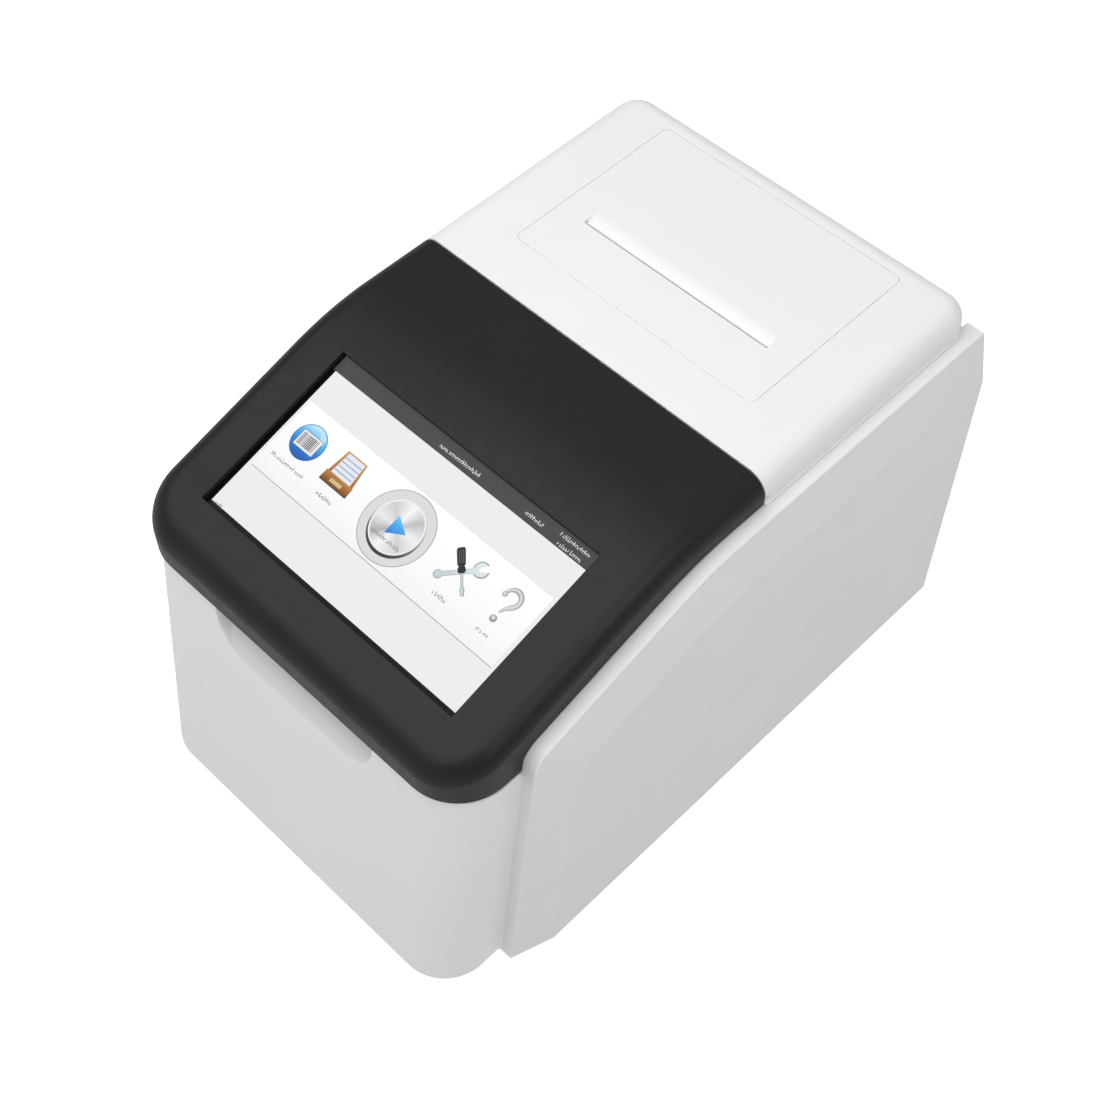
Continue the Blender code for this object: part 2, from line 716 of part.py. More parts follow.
def screen_box(margin, shallow, deep):
    """A box parallel to the screen between two depths under the lid's sloping face."""
    size = (SCREEN_WIDTH + 2 * margin, SCREEN_LENGTH + 2 * margin, deep - shallow)
    middle = SCREEN_FRONT + SCREEN_LENGTH * math.cos(SCREEN_SLOPE) / 2
    spot = Matrix.Translation(place(0, middle, SHELL_HEIGHT - RISE * (SLOPE_START - middle)))
    turn = Matrix.Rotation(SCREEN_SLOPE, 4, "X")
    offset = Matrix.Translation((0, 0, -(deep + shallow) / 2))
    mesh = bmesh.new()
    bmesh.ops.create_cube(mesh, size=1.0, matrix=spot @ turn @ offset @ Matrix.Diagonal((*size, 1.0)))
    return mesh


def make_lid():
    shell = part("lid_shell", cover_mesh(lid_half, lid_layers(LID_EDGE, 0, lid_lip)), "black_shell")
    cut(shell, cover_mesh(lambda inset: lid_half(inset, SEAM - LID_WALL), lid_layers(
        LID_EDGE - LID_WALL, LID_WALL, lambda front: LIP_HEIGHT - PAST)))
    cut(shell, screen_box(0, -PAST, LID_WALL + PAST))
    inset = LID_WALL + CLEAR
    tray = part("lid_tray", cover_mesh(
        lambda inset: lid_half(inset, SEAM - LID_TRAY_REAR),
        [(inset, lambda front: lid_lip(front) + LID_TRAY_SEAT),
         (inset, lambda front: lid_lip(front) + LID_TRAY_SEAT + WALL)]), "dark_plastic")
    under = LID_WALL + SIT
    glass = part("touch_glass", screen_box(GLASS_OVERLAP, under, under + GLASS_THICK), "glass")
    under += GLASS_THICK + SIT
    panel = part("display_panel", screen_box(DISPLAY_OVERLAP, under, under + DISPLAY_THICK), "dark_plastic")
    under += DISPLAY_THICK + DISPLAY_BOARD_GAP
    board = part("display_board", screen_box(-DISPLAY_BOARD_MARGIN, under, under + BOARD_THICK), "board")
    return [shell, tray, glass, panel, board]


# ---------------------------------------------------------------- hinges
def hinge_axis(x=0.0):
    return place(x, SEAM + HINGE_SETBACK, SKIN_UNDER - SIT - HINGE_KNUCKLE)


def door_axis(x=0.0):
    return place(x, DOOR_FRONT - DOOR_SETBACK, SKIN_UNDER - SIT - DOOR_KNUCKLE)


def gooseneck(axis, half, knuckle, dip, reach, bar, top, pad, way):
    """An arm that drops from the axis, runs under the cover's edge and rises again.

    It reaches forwards where way is 1 and backwards where way is -1.
    """
    outline = arc((0, 0), knuckle, 0, 180, 10)
    outline += [(-knuckle, -dip), (-reach, -dip), (-reach, top), (-reach - bar - pad, top),
                (-reach - bar - pad, top - bar), (-reach - bar, top - bar),
                (-reach - bar, -dip - bar), (knuckle, -dip - bar)]
    return prism_mesh(outline, axis.x - half, axis.x + half, lambda front, height, x: Vector(
        (x, axis.y + way * front, axis.z + height)))


def make_bracket(name, axis, knuckle, ear, leaf, foot, base_low, base_high, bore):
    """A foot plate with two ears whose eyes stand on the axis."""
    outer = ear + leaf / 2
    bracket = part(name, box_mesh((axis.x - outer, axis.y - foot, base_low),
                                  (axis.x + outer, axis.y + foot, base_high)), "steel", smooth=False)
    for side in (-1, 1):
        inset = JOIN_STEP * (2 + side)
        low, waist = base_low + inset - axis.z, base_high + BRACKET_WAIST - axis.z
        outline = [(foot - inset, low), (foot - inset, waist)]
        outline += arc((0, 0), knuckle, 0, 180, 8)
        outline += [(inset - foot, waist), (inset - foot, low)]
        near = axis.x + side * ear - leaf / 2 + inset
        join(bracket, prism_mesh(outline, near, near + leaf - 2 * inset, lambda front, height, x: Vector(
            (x, axis.y + front, axis.z + height))))
    cut(bracket, rod_mesh(axis, "X", bore, 4 * ear, 20))


def make_hinge_side(side, label):
    axis = hinge_axis(side * HINGE_X)
    half = HINGE_ARM_WIDTH / 2
    reach = HINGE_SETBACK + LID_WALL + CLEAR
    top = SKIN_UNDER + FOOT_HEIGHT - axis.z - HINGE_PAD_GAP
    arm = part(f"hinge_arm_{label}", gooseneck(axis, half, HINGE_KNUCKLE, HINGE_DIP, reach, HINGE_BAR, top,
                                               HINGE_PAD, 1), "steel", pivot=axis, smooth=False)
    cut(arm, rod_mesh(axis, "X", HINGE_PIN + BORE_CLEAR, 4 * half, 20))
    ear = half + HINGE_LEAF_GAP + HINGE_LEAF / 2
    base = BEAM_TOP + FOOT_HEIGHT + SIT
    make_bracket(f"hinge_bracket_{label}", axis, HINGE_KNUCKLE, ear, HINGE_LEAF, HINGE_FOOT, base,
                 base + HINGE_FOOT_THICK, HINGE_PIN + BORE_CLEAR)
    length = 2 * ear + HINGE_LEAF + 2 * PIN_PROUD
    part(f"hinge_pin_{label}", rod_mesh(axis, "X", HINGE_PIN, length, 20), "steel")
    return arm


def make_hinge_beam():
    front, rear = SEAM + BEAM_FRONT, SEAM + BEAM_REAR
    low, web = BEAM_TOP - BEAM_DROP, BEAM_TOP - BEAM_THICK
    outline = [(front, low), (front + BEAM_THICK, low), (front + BEAM_THICK, web), (rear, web),
               (rear, BEAM_TOP), (front, BEAM_TOP)]
    half = HALF_CORE - LID_WALL - CLEAR
    part("hinge_beam", side_prism(outline, -half, half), "steel", smooth=False)


# ---------------------------------------------------------------- rear cover and printer
def cover_half(inset, seam, round_off=0.0):
    """Right half of the rear cover in plan, rear corner first; its front edge is set back by round_off."""
    half = HALF_CORE - inset
    radius = COVER_CORNER - min(inset, COVER_CORNER - 0.002)
    rear = OVERALL_DEPTH - COVER_SETBACK - inset
    return arc((half - radius, rear - radius), radius, 90, 0, 6) + [(half, seam + round_off)]


def cover_layers(edge, shrink, low):
    layers = [(shrink, lambda front: low)]
    for step in range(7):
        angle = math.radians(15 * step)
        level = SHELL_HEIGHT - shrink - edge * (1 - math.sin(angle))
        layers.append((shrink + edge * (1 - math.cos(angle)), lambda front, z=level: z))
    return layers


def make_rear_cover():
    seam = SEAM + SEAM_GAP
    low = LEDGE_HEIGHT + SIT
    layers = cover_layers(LID_EDGE, 0, low)

    def outer_half(inset):
        """The front edge is rounded near the top, so that the lid's rear face clears it as it swings."""
        fall = SHELL_HEIGHT - next(height(0) for layer, height in reversed(layers) if layer == inset)
        left = max(0.0, SEAM_ROUND - fall)
        return cover_half(inset, seam, SEAM_ROUND - math.sqrt(SEAM_ROUND ** 2 - left ** 2))

    cover = part("rear_cover", cover_mesh(outer_half, layers), "white_shell")
    cut(cover, cover_mesh(lambda inset: cover_half(inset, seam + WALL),
                          cover_layers(LID_EDGE - WALL, WALL, low - PAST)))
    hole = rounded_rectangle(DOOR_WIDTH / 2 + DOOR_GAP, DOOR_FRONT - DOOR_GAP, DOOR_REAR + DOOR_GAP,
                             DOOR_CORNER + DOOR_GAP)
    cut(cover, plan_prism(hole, SKIN_UNDER - PAST, SHELL_HEIGHT + PAST))
    half = HINGE_ARM_WIDTH / 2 + ARM_SLOT_CLEAR
    for side in (-1, 1):
        cut(cover, shell_box(side * HINGE_X - half, side * HINGE_X + half, seam - PAST,
                             seam + WALL + PAST / 4, low - PAST, SKIN_UNDER - SIT - HINGE_KNUCKLE
                             - ARM_SLOT_CLEAR))


def make_printer_door():
    top = rounded_rectangle(DOOR_WIDTH / 2, DOOR_FRONT, DOOR_REAR, DOOR_CORNER)
    under = rounded_rectangle(DOOR_WIDTH / 2 - DOOR_TAPER, DOOR_FRONT + DOOR_TAPER,
                              DOOR_REAR - DOOR_TAPER, DOOR_CORNER - DOOR_TAPER)
    axis = door_axis()
    rings = [[place(x, front, SKIN_UNDER) for x, front in under],
             [place(x, front, SHELL_HEIGHT) for x, front in top]]
    door = part("printer_door", loft_mesh(rings), "white_shell", pivot=axis)
    throat, low, high = SLOT_FRONT + SLOT_THROAT, SKIN_UNDER - PAST, SHELL_HEIGHT + PAST
    cut(door, side_prism([(SLOT_FRONT, low), (throat, low), (throat + SLOT_HEEL, SKIN_UNDER + SLOT_HEEL),
                          (SLOT_REAR, SHELL_HEIGHT + JOIN_STEP), (SLOT_REAR, high), (SLOT_FRONT, high)],
                         -SLOT_WIDTH / 2, SLOT_WIDTH / 2))
    reach = DOOR_SETBACK + DOOR_TAPER + DOOR_ARM_CLEAR
    top_of_arm = SKIN_UNDER + FOOT_HEIGHT - axis.z + DOOR_ARM_SUNK
    for side in (-1, 1):
        join(door, gooseneck(door_axis(side * DOOR_ARM_X), DOOR_ARM_WIDTH / 2, DOOR_KNUCKLE, DOOR_DIP,
                             reach, DOOR_BAR, top_of_arm, DOOR_PAD, -1))
    cut(door, rod_mesh(axis, "X", DOOR_PIN + BORE_CLEAR, 2 * DOOR_ARM_X + 2 * DOOR_ARM_WIDTH, 16))


def make_door_bracket(side, label):
    axis = door_axis(side * DOOR_ARM_X)
    ear = DOOR_ARM_WIDTH / 2 + DOOR_LEAF_GAP + DOOR_LEAF / 2
    make_bracket(f"door_bracket_{label}", axis, DOOR_KNUCKLE, ear, DOOR_LEAF, DOOR_FOOT,
                 BEAM_TOP + FOOT_HEIGHT + SIT, axis.z - DOOR_FOOT_DROP, DOOR_PIN + BORE_CLEAR)
    length = 2 * ear + DOOR_LEAF + PIN_PROUD
    part(f"door_pin_{label}", rod_mesh(axis, "X", DOOR_PIN, length, 16), "steel")


def gear_mesh(middle, teeth):
    """A spur gear on the X axis."""
    pitch = GEAR_MODULE * teeth / 2
    outline = []
    for tooth in range(teeth):
        for share, step in ((-TOOTH_ROOT, -1), (-TOOTH_TIP, 1), (TOOTH_TIP, 1), (TOOTH_ROOT, -1)):
            angle = 2 * math.pi * (tooth + share) / teeth
            radius = pitch + step * GEAR_MODULE * TOOTH_REACH
            outline.append((radius * math.cos(angle), radius * math.sin(angle)))
    return prism_mesh(outline, middle.x - GEAR_WIDTH / 2, middle.x + GEAR_WIDTH / 2,
                      lambda front, height, x: Vector((x, middle.y + front, middle.z + height)))


def make_paper_bay():
    bay = part("paper_bay", shell_box(-BAY_HALF, BAY_HALF, BAY_FRONT, BAY_REAR, BAY_FLOOR - WALL, BAY_TOP),
               "dark_plastic", smooth=False)
    inner = BAY_HALF - WALL
    cut(bay, shell_box(-inner, inner, BAY_FRONT + WALL, BAY_REAR - WALL, BAY_FLOOR, BAY_TOP + PAST))
    axis = place(0, ROLL_FRONT, ROLL_HEIGHT)
    roll = part("paper_roll", rod_mesh(axis, "X", ROLL_RADIUS, ROLL_WIDTH, 48), "paper", axis)
    cut(roll, rod_mesh(axis, "X", ROLL_BORE, ROLL_WIDTH + 2 * PAST, 24))
    part("roll_spindle", rod_mesh(axis, "X", ROLL_BORE - SPINDLE_CLEAR, 2 * (inner - SIT), 24),
         "grey_plastic")
    head = part("print_head", shell_box(
        -HEAD_WIDTH / 2, HEAD_WIDTH / 2, BAY_FRONT + WALL + SIT, PLATEN_FRONT - PLATEN_RADIUS - SIT,
        PLATEN_HEIGHT - HEAD_HEIGHT / 2, PLATEN_HEIGHT + HEAD_HEIGHT / 2), "dark_plastic", smooth=False)
    soften(head, EDGE_ROUND)


def make_printer_drive():
    axis = place(0, PLATEN_FRONT, PLATEN_HEIGHT)
    platen = part("platen_roller", rod_mesh(axis, "X", PLATEN_RADIUS, ROLL_WIDTH - 2 * PLATEN_SHORT, 24),
                  "rubber", axis)
    join(platen, rod_mesh(axis, "X", PLATEN_SHAFT, 2 * (BAY_HALF - WALL - SIT), 16))
    gear_spot = place(GEAR_X, PLATEN_FRONT, PLATEN_HEIGHT)
    gear = part("platen_gear", gear_mesh(gear_spot, GEAR_TEETH), "grey_plastic", gear_spot, False)
    cut(gear, rod_mesh(gear_spot, "X", PLATEN_SHAFT + SIT, GEAR_WIDTH + 2 * PAST, 16))
    spacing = GEAR_MODULE * (GEAR_TEETH + PINION_TEETH) / 2 + 2 * TOOTH_REACH * GEAR_MODULE + SIT
    spot = place(GEAR_X, PLATEN_FRONT - spacing * math.cos(PINION_TURN),
                 PLATEN_HEIGHT - spacing * math.sin(PINION_TURN))
    pinion = part("motor_gear", gear_mesh(spot, PINION_TEETH), "steel", spot, False)
    join(pinion, rod_mesh(spot - Vector((GEAR_WIDTH, 0, 0)), "X", MOTOR_SHAFT, MOTOR_SHAFT_LENGTH, 16))
    middle = GEAR_X - GEAR_WIDTH / 2 - MOTOR_STANDOFF - MOTOR_LENGTH / 2
    motor = part("printer_motor", rod_mesh(Vector((middle, spot.y, spot.z)), "X", MOTOR_RADIUS,
                                           MOTOR_LENGTH, 32), "steel")
    cut(motor, rod_mesh(spot - Vector((MOTOR_BORE_MIDDLE, 0, 0)), "X", MOTOR_SHAFT + SIT, MOTOR_LENGTH, 16))


# ---------------------------------------------------------------- deck, block and heat sink
def make_deck():
    bends = [front for front in bend_fronts() if DECK_FRONT < front < DECK_REAR]
    fronts = [DECK_FRONT, *reversed(bends), DECK_REAR]
    outline = [(front, lid_lip(front) - DECK_UNDER_LIP) for front in fronts]
    outline += [(DECK_REAR, DECK_FLOOR - PANEL_WALL), (DECK_FRONT, DECK_FLOOR - PANEL_WALL)]
    half = HALF_CORE - LID_WALL - CLEAR
    deck = part("deck_tub", side_prism(outline, -half, half), "grey_plastic", smooth=False)
    inner = half - WALL
    cut(deck, shell_box(-inner, inner, DECK_FRONT + WALL, DECK_REAR - WALL, DECK_FLOOR, SHELL_HEIGHT))
    panel_end = side_front(FRONT_PANEL_TOP) + 2 * CLEAR
    for side in (-1, 1):
        edges = sorted((side * (half - DECK_NOTCH), side * (half + PAST)))
        cut(deck, shell_box(*edges, DECK_FRONT - PAST, panel_end, DECK_FLOOR - PANEL_WALL - PAST,
                            SHELL_HEIGHT))
    hole_x, hole_y = BLOCK_HALF_X + BLOCK_HOLE_CLEAR, BLOCK_HALF_Y + BLOCK_HOLE_CLEAR
    cut(deck, shell_box(-hole_x, hole_x, BLOCK_MIDDLE - hole_y, BLOCK_MIDDLE + hole_y,
                        DECK_FLOOR - PANEL_WALL - PAST, DECK_FLOOR + PAST))


def make_block():
    half_x, half_y = BLOCK_HALF_X, BLOCK_HALF_Y
    block = part("sample_block", shell_box(-half_x, half_x, BLOCK_MIDDLE - half_y, BLOCK_MIDDLE + half_y,
                                           BLOCK_BOTTOM, BLOCK_TOP), "aluminium")
    above = PAST / 2
    flare = (WELL_RADIUS - WELL_TIP) * above / WELL_DEPTH
    for row in range(WELL_ROWS):
        for column in range(WELL_COLUMNS):
            x = (column - (WELL_COLUMNS - 1) / 2) * WELL_PITCH
            front = BLOCK_MIDDLE + (row - (WELL_ROWS - 1) / 2) * WELL_PITCH
            cut(block, rod_mesh(place(x, front, BLOCK_TOP - (WELL_DEPTH - above) / 2), "Z", WELL_TIP,
                                WELL_DEPTH + above, 16, WELL_RADIUS + flare))
    rim_x, rim_y = half_x + COLLAR_RIM, half_y + COLLAR_RIM
    collar = part("block_collar", shell_box(-rim_x, rim_x, BLOCK_MIDDLE - rim_y, BLOCK_MIDDLE + rim_y,
                                            DECK_FLOOR + SIT, BLOCK_TOP - BLOCK_PROUD), "dark_plastic")
    gap_x, gap_y = half_x + CLEAR, half_y + CLEAR
    cut(collar, shell_box(-gap_x, gap_x, BLOCK_MIDDLE - gap_y, BLOCK_MIDDLE + gap_y,
                          DECK_FLOOR - PAST, BLOCK_TOP))
    top = BLOCK_BOTTOM - SIT
    half_x -= PELTIER_SHORT
    part("peltier_module", shell_box(-half_x, half_x, BLOCK_MIDDLE - half_y, BLOCK_MIDDLE + half_y,
                                     top - PELTIER_THICK, top), "ceramic", smooth=False)


def make_heat_sink():
    """A base plate with fins that hang down, as one comb-shaped section."""
    half, top = SINK_WIDTH / 2, BLOCK_BOTTOM - PELTIER_THICK - 2 * SIT
    root = top - SINK_BASE
    pitch = (SINK_WIDTH - FIN_THICK) / (FIN_COUNT - 1)
    outline = [(-half, top), (half, top)]
    for index in reversed(range(FIN_COUNT)):
        x = -half + index * pitch
        outline += [(x + FIN_THICK, root), (x + FIN_THICK, root - FIN_REACH), (x, root - FIN_REACH),
                    (x, root)]
    del outline[2], outline[-1]
    part("heat_sink", back_prism(outline, BLOCK_MIDDLE - SINK_DEPTH / 2, BLOCK_MIDDLE + SINK_DEPTH / 2),
         "aluminium", smooth=False)


# ---------------------------------------------------------------- heated press in the lid
def spring_object(name, middle, radius, low, high):
    """A coil of round wire between two heights."""
    per_turn = 12
    steps = SPRING_TURNS * per_turn
    curve = bpy.data.curves.new(name, "CURVE")
    curve.dimensions = "3D"
    curve.bevel_depth = SPRING_WIRE
    curve.bevel_resolution = 1
    curve.use_fill_caps = True
    line = curve.splines.new("POLY")
    line.points.add(steps)
    for index, point in enumerate(line.points):
        angle = 2 * math.pi * index / per_turn
        height = low + SPRING_WIRE + (high - low - 2 * SPRING_WIRE) * index / steps
        point.co = (middle.x + radius * math.cos(angle), middle.y + radius * math.sin(angle), height, 1.0)
    made = bpy.data.objects.new(name, curve)
    parts.objects.link(made)
    curve.materials.append(finish_material(name, "steel"))
    return made


def make_press():
    inner_x, inner_y = PRESS_HALF_X + PRESS_CLEAR, PRESS_HALF_Y + PRESS_CLEAR
    half_x, half_y = inner_x + HOUSING_WALL, inner_y + HOUSING_WALL
    front, rear = BLOCK_MIDDLE - half_y, BLOCK_MIDDLE + half_y
    low = PRESS_LOW + PRESS_PROUD
    under_tray = LID_TRAY_SEAT - SIT
    housing = part("heater_housing", side_prism(
        [(front, low), (rear, low), (rear, lid_lip(rear) + under_tray),
         (front, lid_lip(front) + under_tray)], -half_x, half_x), "dark_plastic", smooth=False)
    cut(housing, shell_box(-inner_x, inner_x, BLOCK_MIDDLE - inner_y, BLOCK_MIDDLE + inner_y,
                           low - PAST, PRESS_HIGH + SIT))
    plate = part("press_plate", shell_box(-PRESS_HALF_X, PRESS_HALF_X, BLOCK_MIDDLE - PRESS_HALF_Y,
                                          BLOCK_MIDDLE + PRESS_HALF_Y, PRESS_LOW, PRESS_HIGH),
                 "aluminium", pivot=place(0, BLOCK_MIDDLE, PRESS_HIGH), smooth=False)
    soften(plate, EDGE_ROUND)
    springs = []
    corners = ((-1, -1), (1, -1), (-1, 1), (1, 1))
    for index, (side, way) in enumerate(corners, start=1):
        spot = place(side * (PRESS_HALF_X - SPRING_INSET_X),
                     BLOCK_MIDDLE + way * (PRESS_HALF_Y - SPRING_INSET_Y), (PRESS_HIGH + POCKET_TOP) / 2)
        cut(housing, rod_mesh(spot, "Z", POCKET_RADIUS, POCKET_TOP - PRESS_HIGH + JOIN_STEP * index, 20))
        springs.append(spring_object(f"press_spring_{index}", spot, POCKET_RADIUS - SPRING_CLEAR,
                                     PRESS_HIGH + FOOT_HEIGHT + SIT, POCKET_TOP + FOOT_HEIGHT - SIT))
    gasket_top = low - SIT
    gasket = part("heater_gasket", shell_box(-half_x, half_x, front, rear, gasket_top - GASKET_THICK,
                                             gasket_top), "rubber", smooth=False)
    cut(gasket, shell_box(-inner_x, inner_x, BLOCK_MIDDLE - inner_y, BLOCK_MIDDLE + inner_y,
                          gasket_top - GASKET_THICK - PAST, gasket_top + PAST))
    return [housing, *springs, gasket], plate


def make_magnet():
    """The magnet in the lid; the keeper it meets is fixed to the front panel's shelf."""
    low = LIP_HEIGHT + LID_TRAY_SEAT + WALL + SIT
    magnet = part("lid_magnet", shell_box(
        -MAGNET_WIDTH / 2, MAGNET_WIDTH / 2, MAGNET_FRONT - MAGNET_DEPTH / 2,
        MAGNET_FRONT + MAGNET_DEPTH / 2, low, low + MAGNET_HEIGHT), "steel", smooth=False)
    low = FRONT_PANEL_TOP + SIT
    part("keeper_plate", shell_box(-KEEPER_WIDTH / 2, KEEPER_WIDTH / 2, SHELF_REAR - CLEAR - KEEPER_DEPTH,
                                   SHELF_REAR - CLEAR, low, low + KEEPER_THICK), "steel", smooth=False)
    return magnet


# ---------------------------------------------------------------- base, electronics and rear
def tray_outline(inset):
    """Plan of the base tray, which follows the inside of the front panel's corners."""
    half = HALF_CORE - PANEL_WALL - 2 * CLEAR - inset
    front = PANEL_WALL + FRONT_LEAN * TRAY_HEIGHT + 2 * CLEAR + inset
    corner = front_arc(half, front, PANEL_CORNER - PANEL_WALL - inset)
    right = [(half, REAR_PANEL_FRONT - CLEAR - inset)] + corner
    return right + [(-x, front) for x, front in reversed(right)]


def make_base():
    tray = part("base_tray", plan_prism(tray_outline(0), 0, TRAY_HEIGHT), "grey_shell", smooth=False)
    cut(tray, plan_prism(tray_outline(WALL), WALL, TRAY_HEIGHT + PAST))
    for side, label in ((-1, "left"), (1, "right")):
        for front, end in ((FOOT_INSET, "front"), (OVERALL_DEPTH - FOOT_INSET, "rear")):
            middle = place(side * FOOT_X, front, (-FOOT_HEIGHT - SIT) / 2)
            part(f"foot_{end}_{label}", rod_mesh(middle, "Z", FOOT_TIP_RADIUS, FOOT_HEIGHT - SIT, 28,
                                                 FOOT_RADIUS), "rubber")


def make_rear_panel():
    half = HALF_CORE - LID_WALL - CLEAR
    rear = REAR_PANEL_FRONT + PANEL_WALL
    panel = part("rear_panel", shell_box(-half, half, REAR_PANEL_FRONT, rear, REAR_PANEL_LIFT,
                                         LEDGE_HEIGHT - 2 * SIT), "white_shell", smooth=False)
    near, far = REAR_PANEL_FRONT - PAST, rear + PAST

    def opening(x, height, half_width, half_height):
        cut(panel, shell_box(x - half_width, x + half_width, near, far, height - half_height,
                             height + half_height))

    for index in range(VENT_COUNT):
        height = VENT_LOW + index * VENT_PITCH
        cut(panel, back_prism(slot_outline(0, height, VENT_WIDTH / 2, VENT_RADIUS), near, far))
    for index in range(GRILLE_COUNT):
        offset = (index - (GRILLE_COUNT - 1) / 2) * GRILLE_PITCH
        reach = math.sqrt((FAN_SIZE * GRILLE_SHARE) ** 2 - offset ** 2)
        cut(panel, back_prism(slot_outline(FAN_X, FAN_HEIGHT + offset, reach, GRILLE_RADIUS), near, far))
    opening(INLET_X, INLET_HEIGHT, INLET_BODY[0] + CLEAR, INLET_BODY[1] + CLEAR)
    opening(INLET_X, SWITCH_HEIGHT, SWITCH_BODY[0] + CLEAR, SWITCH_BODY[1] + CLEAR)
    opening(USB_X, USB_HEIGHT, USB_BODY[0] + CLEAR, USB_BODY[1] + CLEAR)


def slot_outline(x, height, half_length, radius):
    right = arc((x + half_length - radius, height), radius, -90, 90, 6)
    left = arc((x - half_length + radius, height), radius, 90, 270, 6)
    return right + left


def socket_box(x, height, half_sizes, front, rear):
    """A box for the rear sockets, from half its width and height and two front distances."""
    return shell_box(x - half_sizes[0], x + half_sizes[0], front, rear, height - half_sizes[1],
                     height + half_sizes[1])


def make_sockets():
    flange = REAR_PANEL_FRONT + PANEL_WALL + SIT
    inside = flange + SOCKET_OVERLAP
    face = flange + FLANGE_THICK
    inlet = part("power_inlet", socket_box(INLET_X, INLET_HEIGHT, INLET_FLANGE, flange, face),
                 "dark_plastic", smooth=False)
    join(inlet, socket_box(INLET_X, INLET_HEIGHT, INLET_BODY, flange - INLET_DEPTH, inside))
    cut(inlet, socket_box(INLET_X, INLET_HEIGHT, INLET_MOUTH, face - INLET_MOUTH_DEPTH, face + PAST))
    root = face - INLET_MOUTH_DEPTH - SOCKET_OVERLAP
    for x, height in INLET_BLADES:
        join(inlet, socket_box(INLET_X + x, INLET_HEIGHT + height, BLADE, root, face - BLADE_SETBACK))
    switch = part("switch_housing", socket_box(INLET_X, SWITCH_HEIGHT, SWITCH_FLANGE, flange, face - SIT),
                  "dark_plastic", smooth=False)
    join(switch, socket_box(INLET_X, SWITCH_HEIGHT, SWITCH_BODY, flange - SWITCH_DEPTH, inside))
    cut(switch, socket_box(INLET_X, SWITCH_HEIGHT, SWITCH_MOUTH, flange - SWITCH_MOUTH_DEPTH, face + PAST))
    axis = place(INLET_X, flange - ROCKER_SETBACK, SWITCH_HEIGHT)
    half = SWITCH_MOUTH[0] - CLEAR
    part("switch_rocker", prism_mesh(ROCKER_SECTION, INLET_X - half, INLET_X + half, lambda back, up, x:
                                     Vector((x, axis.y + back, axis.z + up))),
         "black_shell", pivot=axis, smooth=False)
    usb = part("usb_port", socket_box(USB_X, USB_HEIGHT, USB_BODY, flange - USB_DEPTH,
                                      flange + USB_PROUD), "steel", smooth=False)
    mouth = (USB_BODY[0] - USB_WALL, USB_BODY[1] - USB_WALL)
    cut(usb, socket_box(USB_X, USB_HEIGHT, mouth, flange - USB_MOUTH_DEPTH, flange + PAST))


def make_fan():
    rear = REAR_PANEL_FRONT - 2 * CLEAR
    front = rear - FAN_DEPTH
    half = FAN_SIZE / 2
    frame = part("fan_frame", shell_box(FAN_X - half, FAN_X + half, front, rear, FAN_HEIGHT - half,
                                        FAN_HEIGHT + half), "dark_plastic", smooth=False)
    bore = half - FAN_RIM
    cut(frame, rod_mesh(place(FAN_X, (front + rear) / 2, FAN_HEIGHT), "Y", bore, FAN_DEPTH + 2 * PAST, 40))
    spot, reach = front + STRUT / 2, half - FAN_RIM / 2
    for size, step in (((reach, STRUT / 2), JOIN_STEP), ((STRUT / 2, reach), 2 * JOIN_STEP)):
        join(frame, socket_box(FAN_X, FAN_HEIGHT, size, front + step, front + STRUT - step))
    join(frame, rod_mesh(place(FAN_X, spot, FAN_HEIGHT), "Y", FAN_HUB - FAN_HUB_STEP, STRUT - SIT, 32))
    hub_front, hub_rear = front + STRUT + 2 * SIT, rear - FAN_HUB_SETBACK
    hub = place(FAN_X, (hub_front + hub_rear) / 2, FAN_HEIGHT)
    rotor = part("fan_rotor", rod_mesh(hub, "Y", FAN_HUB, hub_rear - hub_front, 32), "dark_plastic",
                 pivot=hub)
    for index in range(BLADE_COUNT):
        join(rotor, blade_mesh(hub, 2 * math.pi * index / BLADE_COUNT, FAN_HUB - BLADE_SUNK,
                               bore - BLADE_TIP_GAP))


def blade_mesh(hub, turn, inner, outer):
    """A pitched blade: a thin box turned on its radial line, then round the hub."""
    mesh = bmesh.new()
    size = Matrix.Diagonal((outer - inner, BLADE_THICK, BLADE_CHORD, 1.0))
    pitch = Matrix.Rotation(BLADE_PITCH, 4, "X")
    out = Matrix.Translation(((inner + outer) / 2, 0, 0))
    spin = Matrix.Rotation(turn, 4, "Y")
    bmesh.ops.create_cube(mesh, size=1.0, matrix=Matrix.Translation(hub) @ spin @ out @ pitch @ size)
    return mesh


def make_power_supply():
    supply = part("power_supply", shell_box(*SUPPLY_X, *SUPPLY_FRONT, WALL + SIT, SUPPLY_TOP), "steel",
                  smooth=False)
    soften(supply, EDGE_ROUND)
    for index in range(SUPPLY_SLOTS):
        x = SUPPLY_X[0] + SUPPLY_SLOT_MARGIN + index * SUPPLY_SLOT_PITCH
        cut(supply, shell_box(x, x + SUPPLY_SLOT_WIDTH, SUPPLY_FRONT[0] + SUPPLY_SLOT_END,
                              SUPPLY_FRONT[1] - SUPPLY_SLOT_END, SUPPLY_TOP - SUPPLY_SLOT_DEPTH,
                              SUPPLY_TOP + PAST))


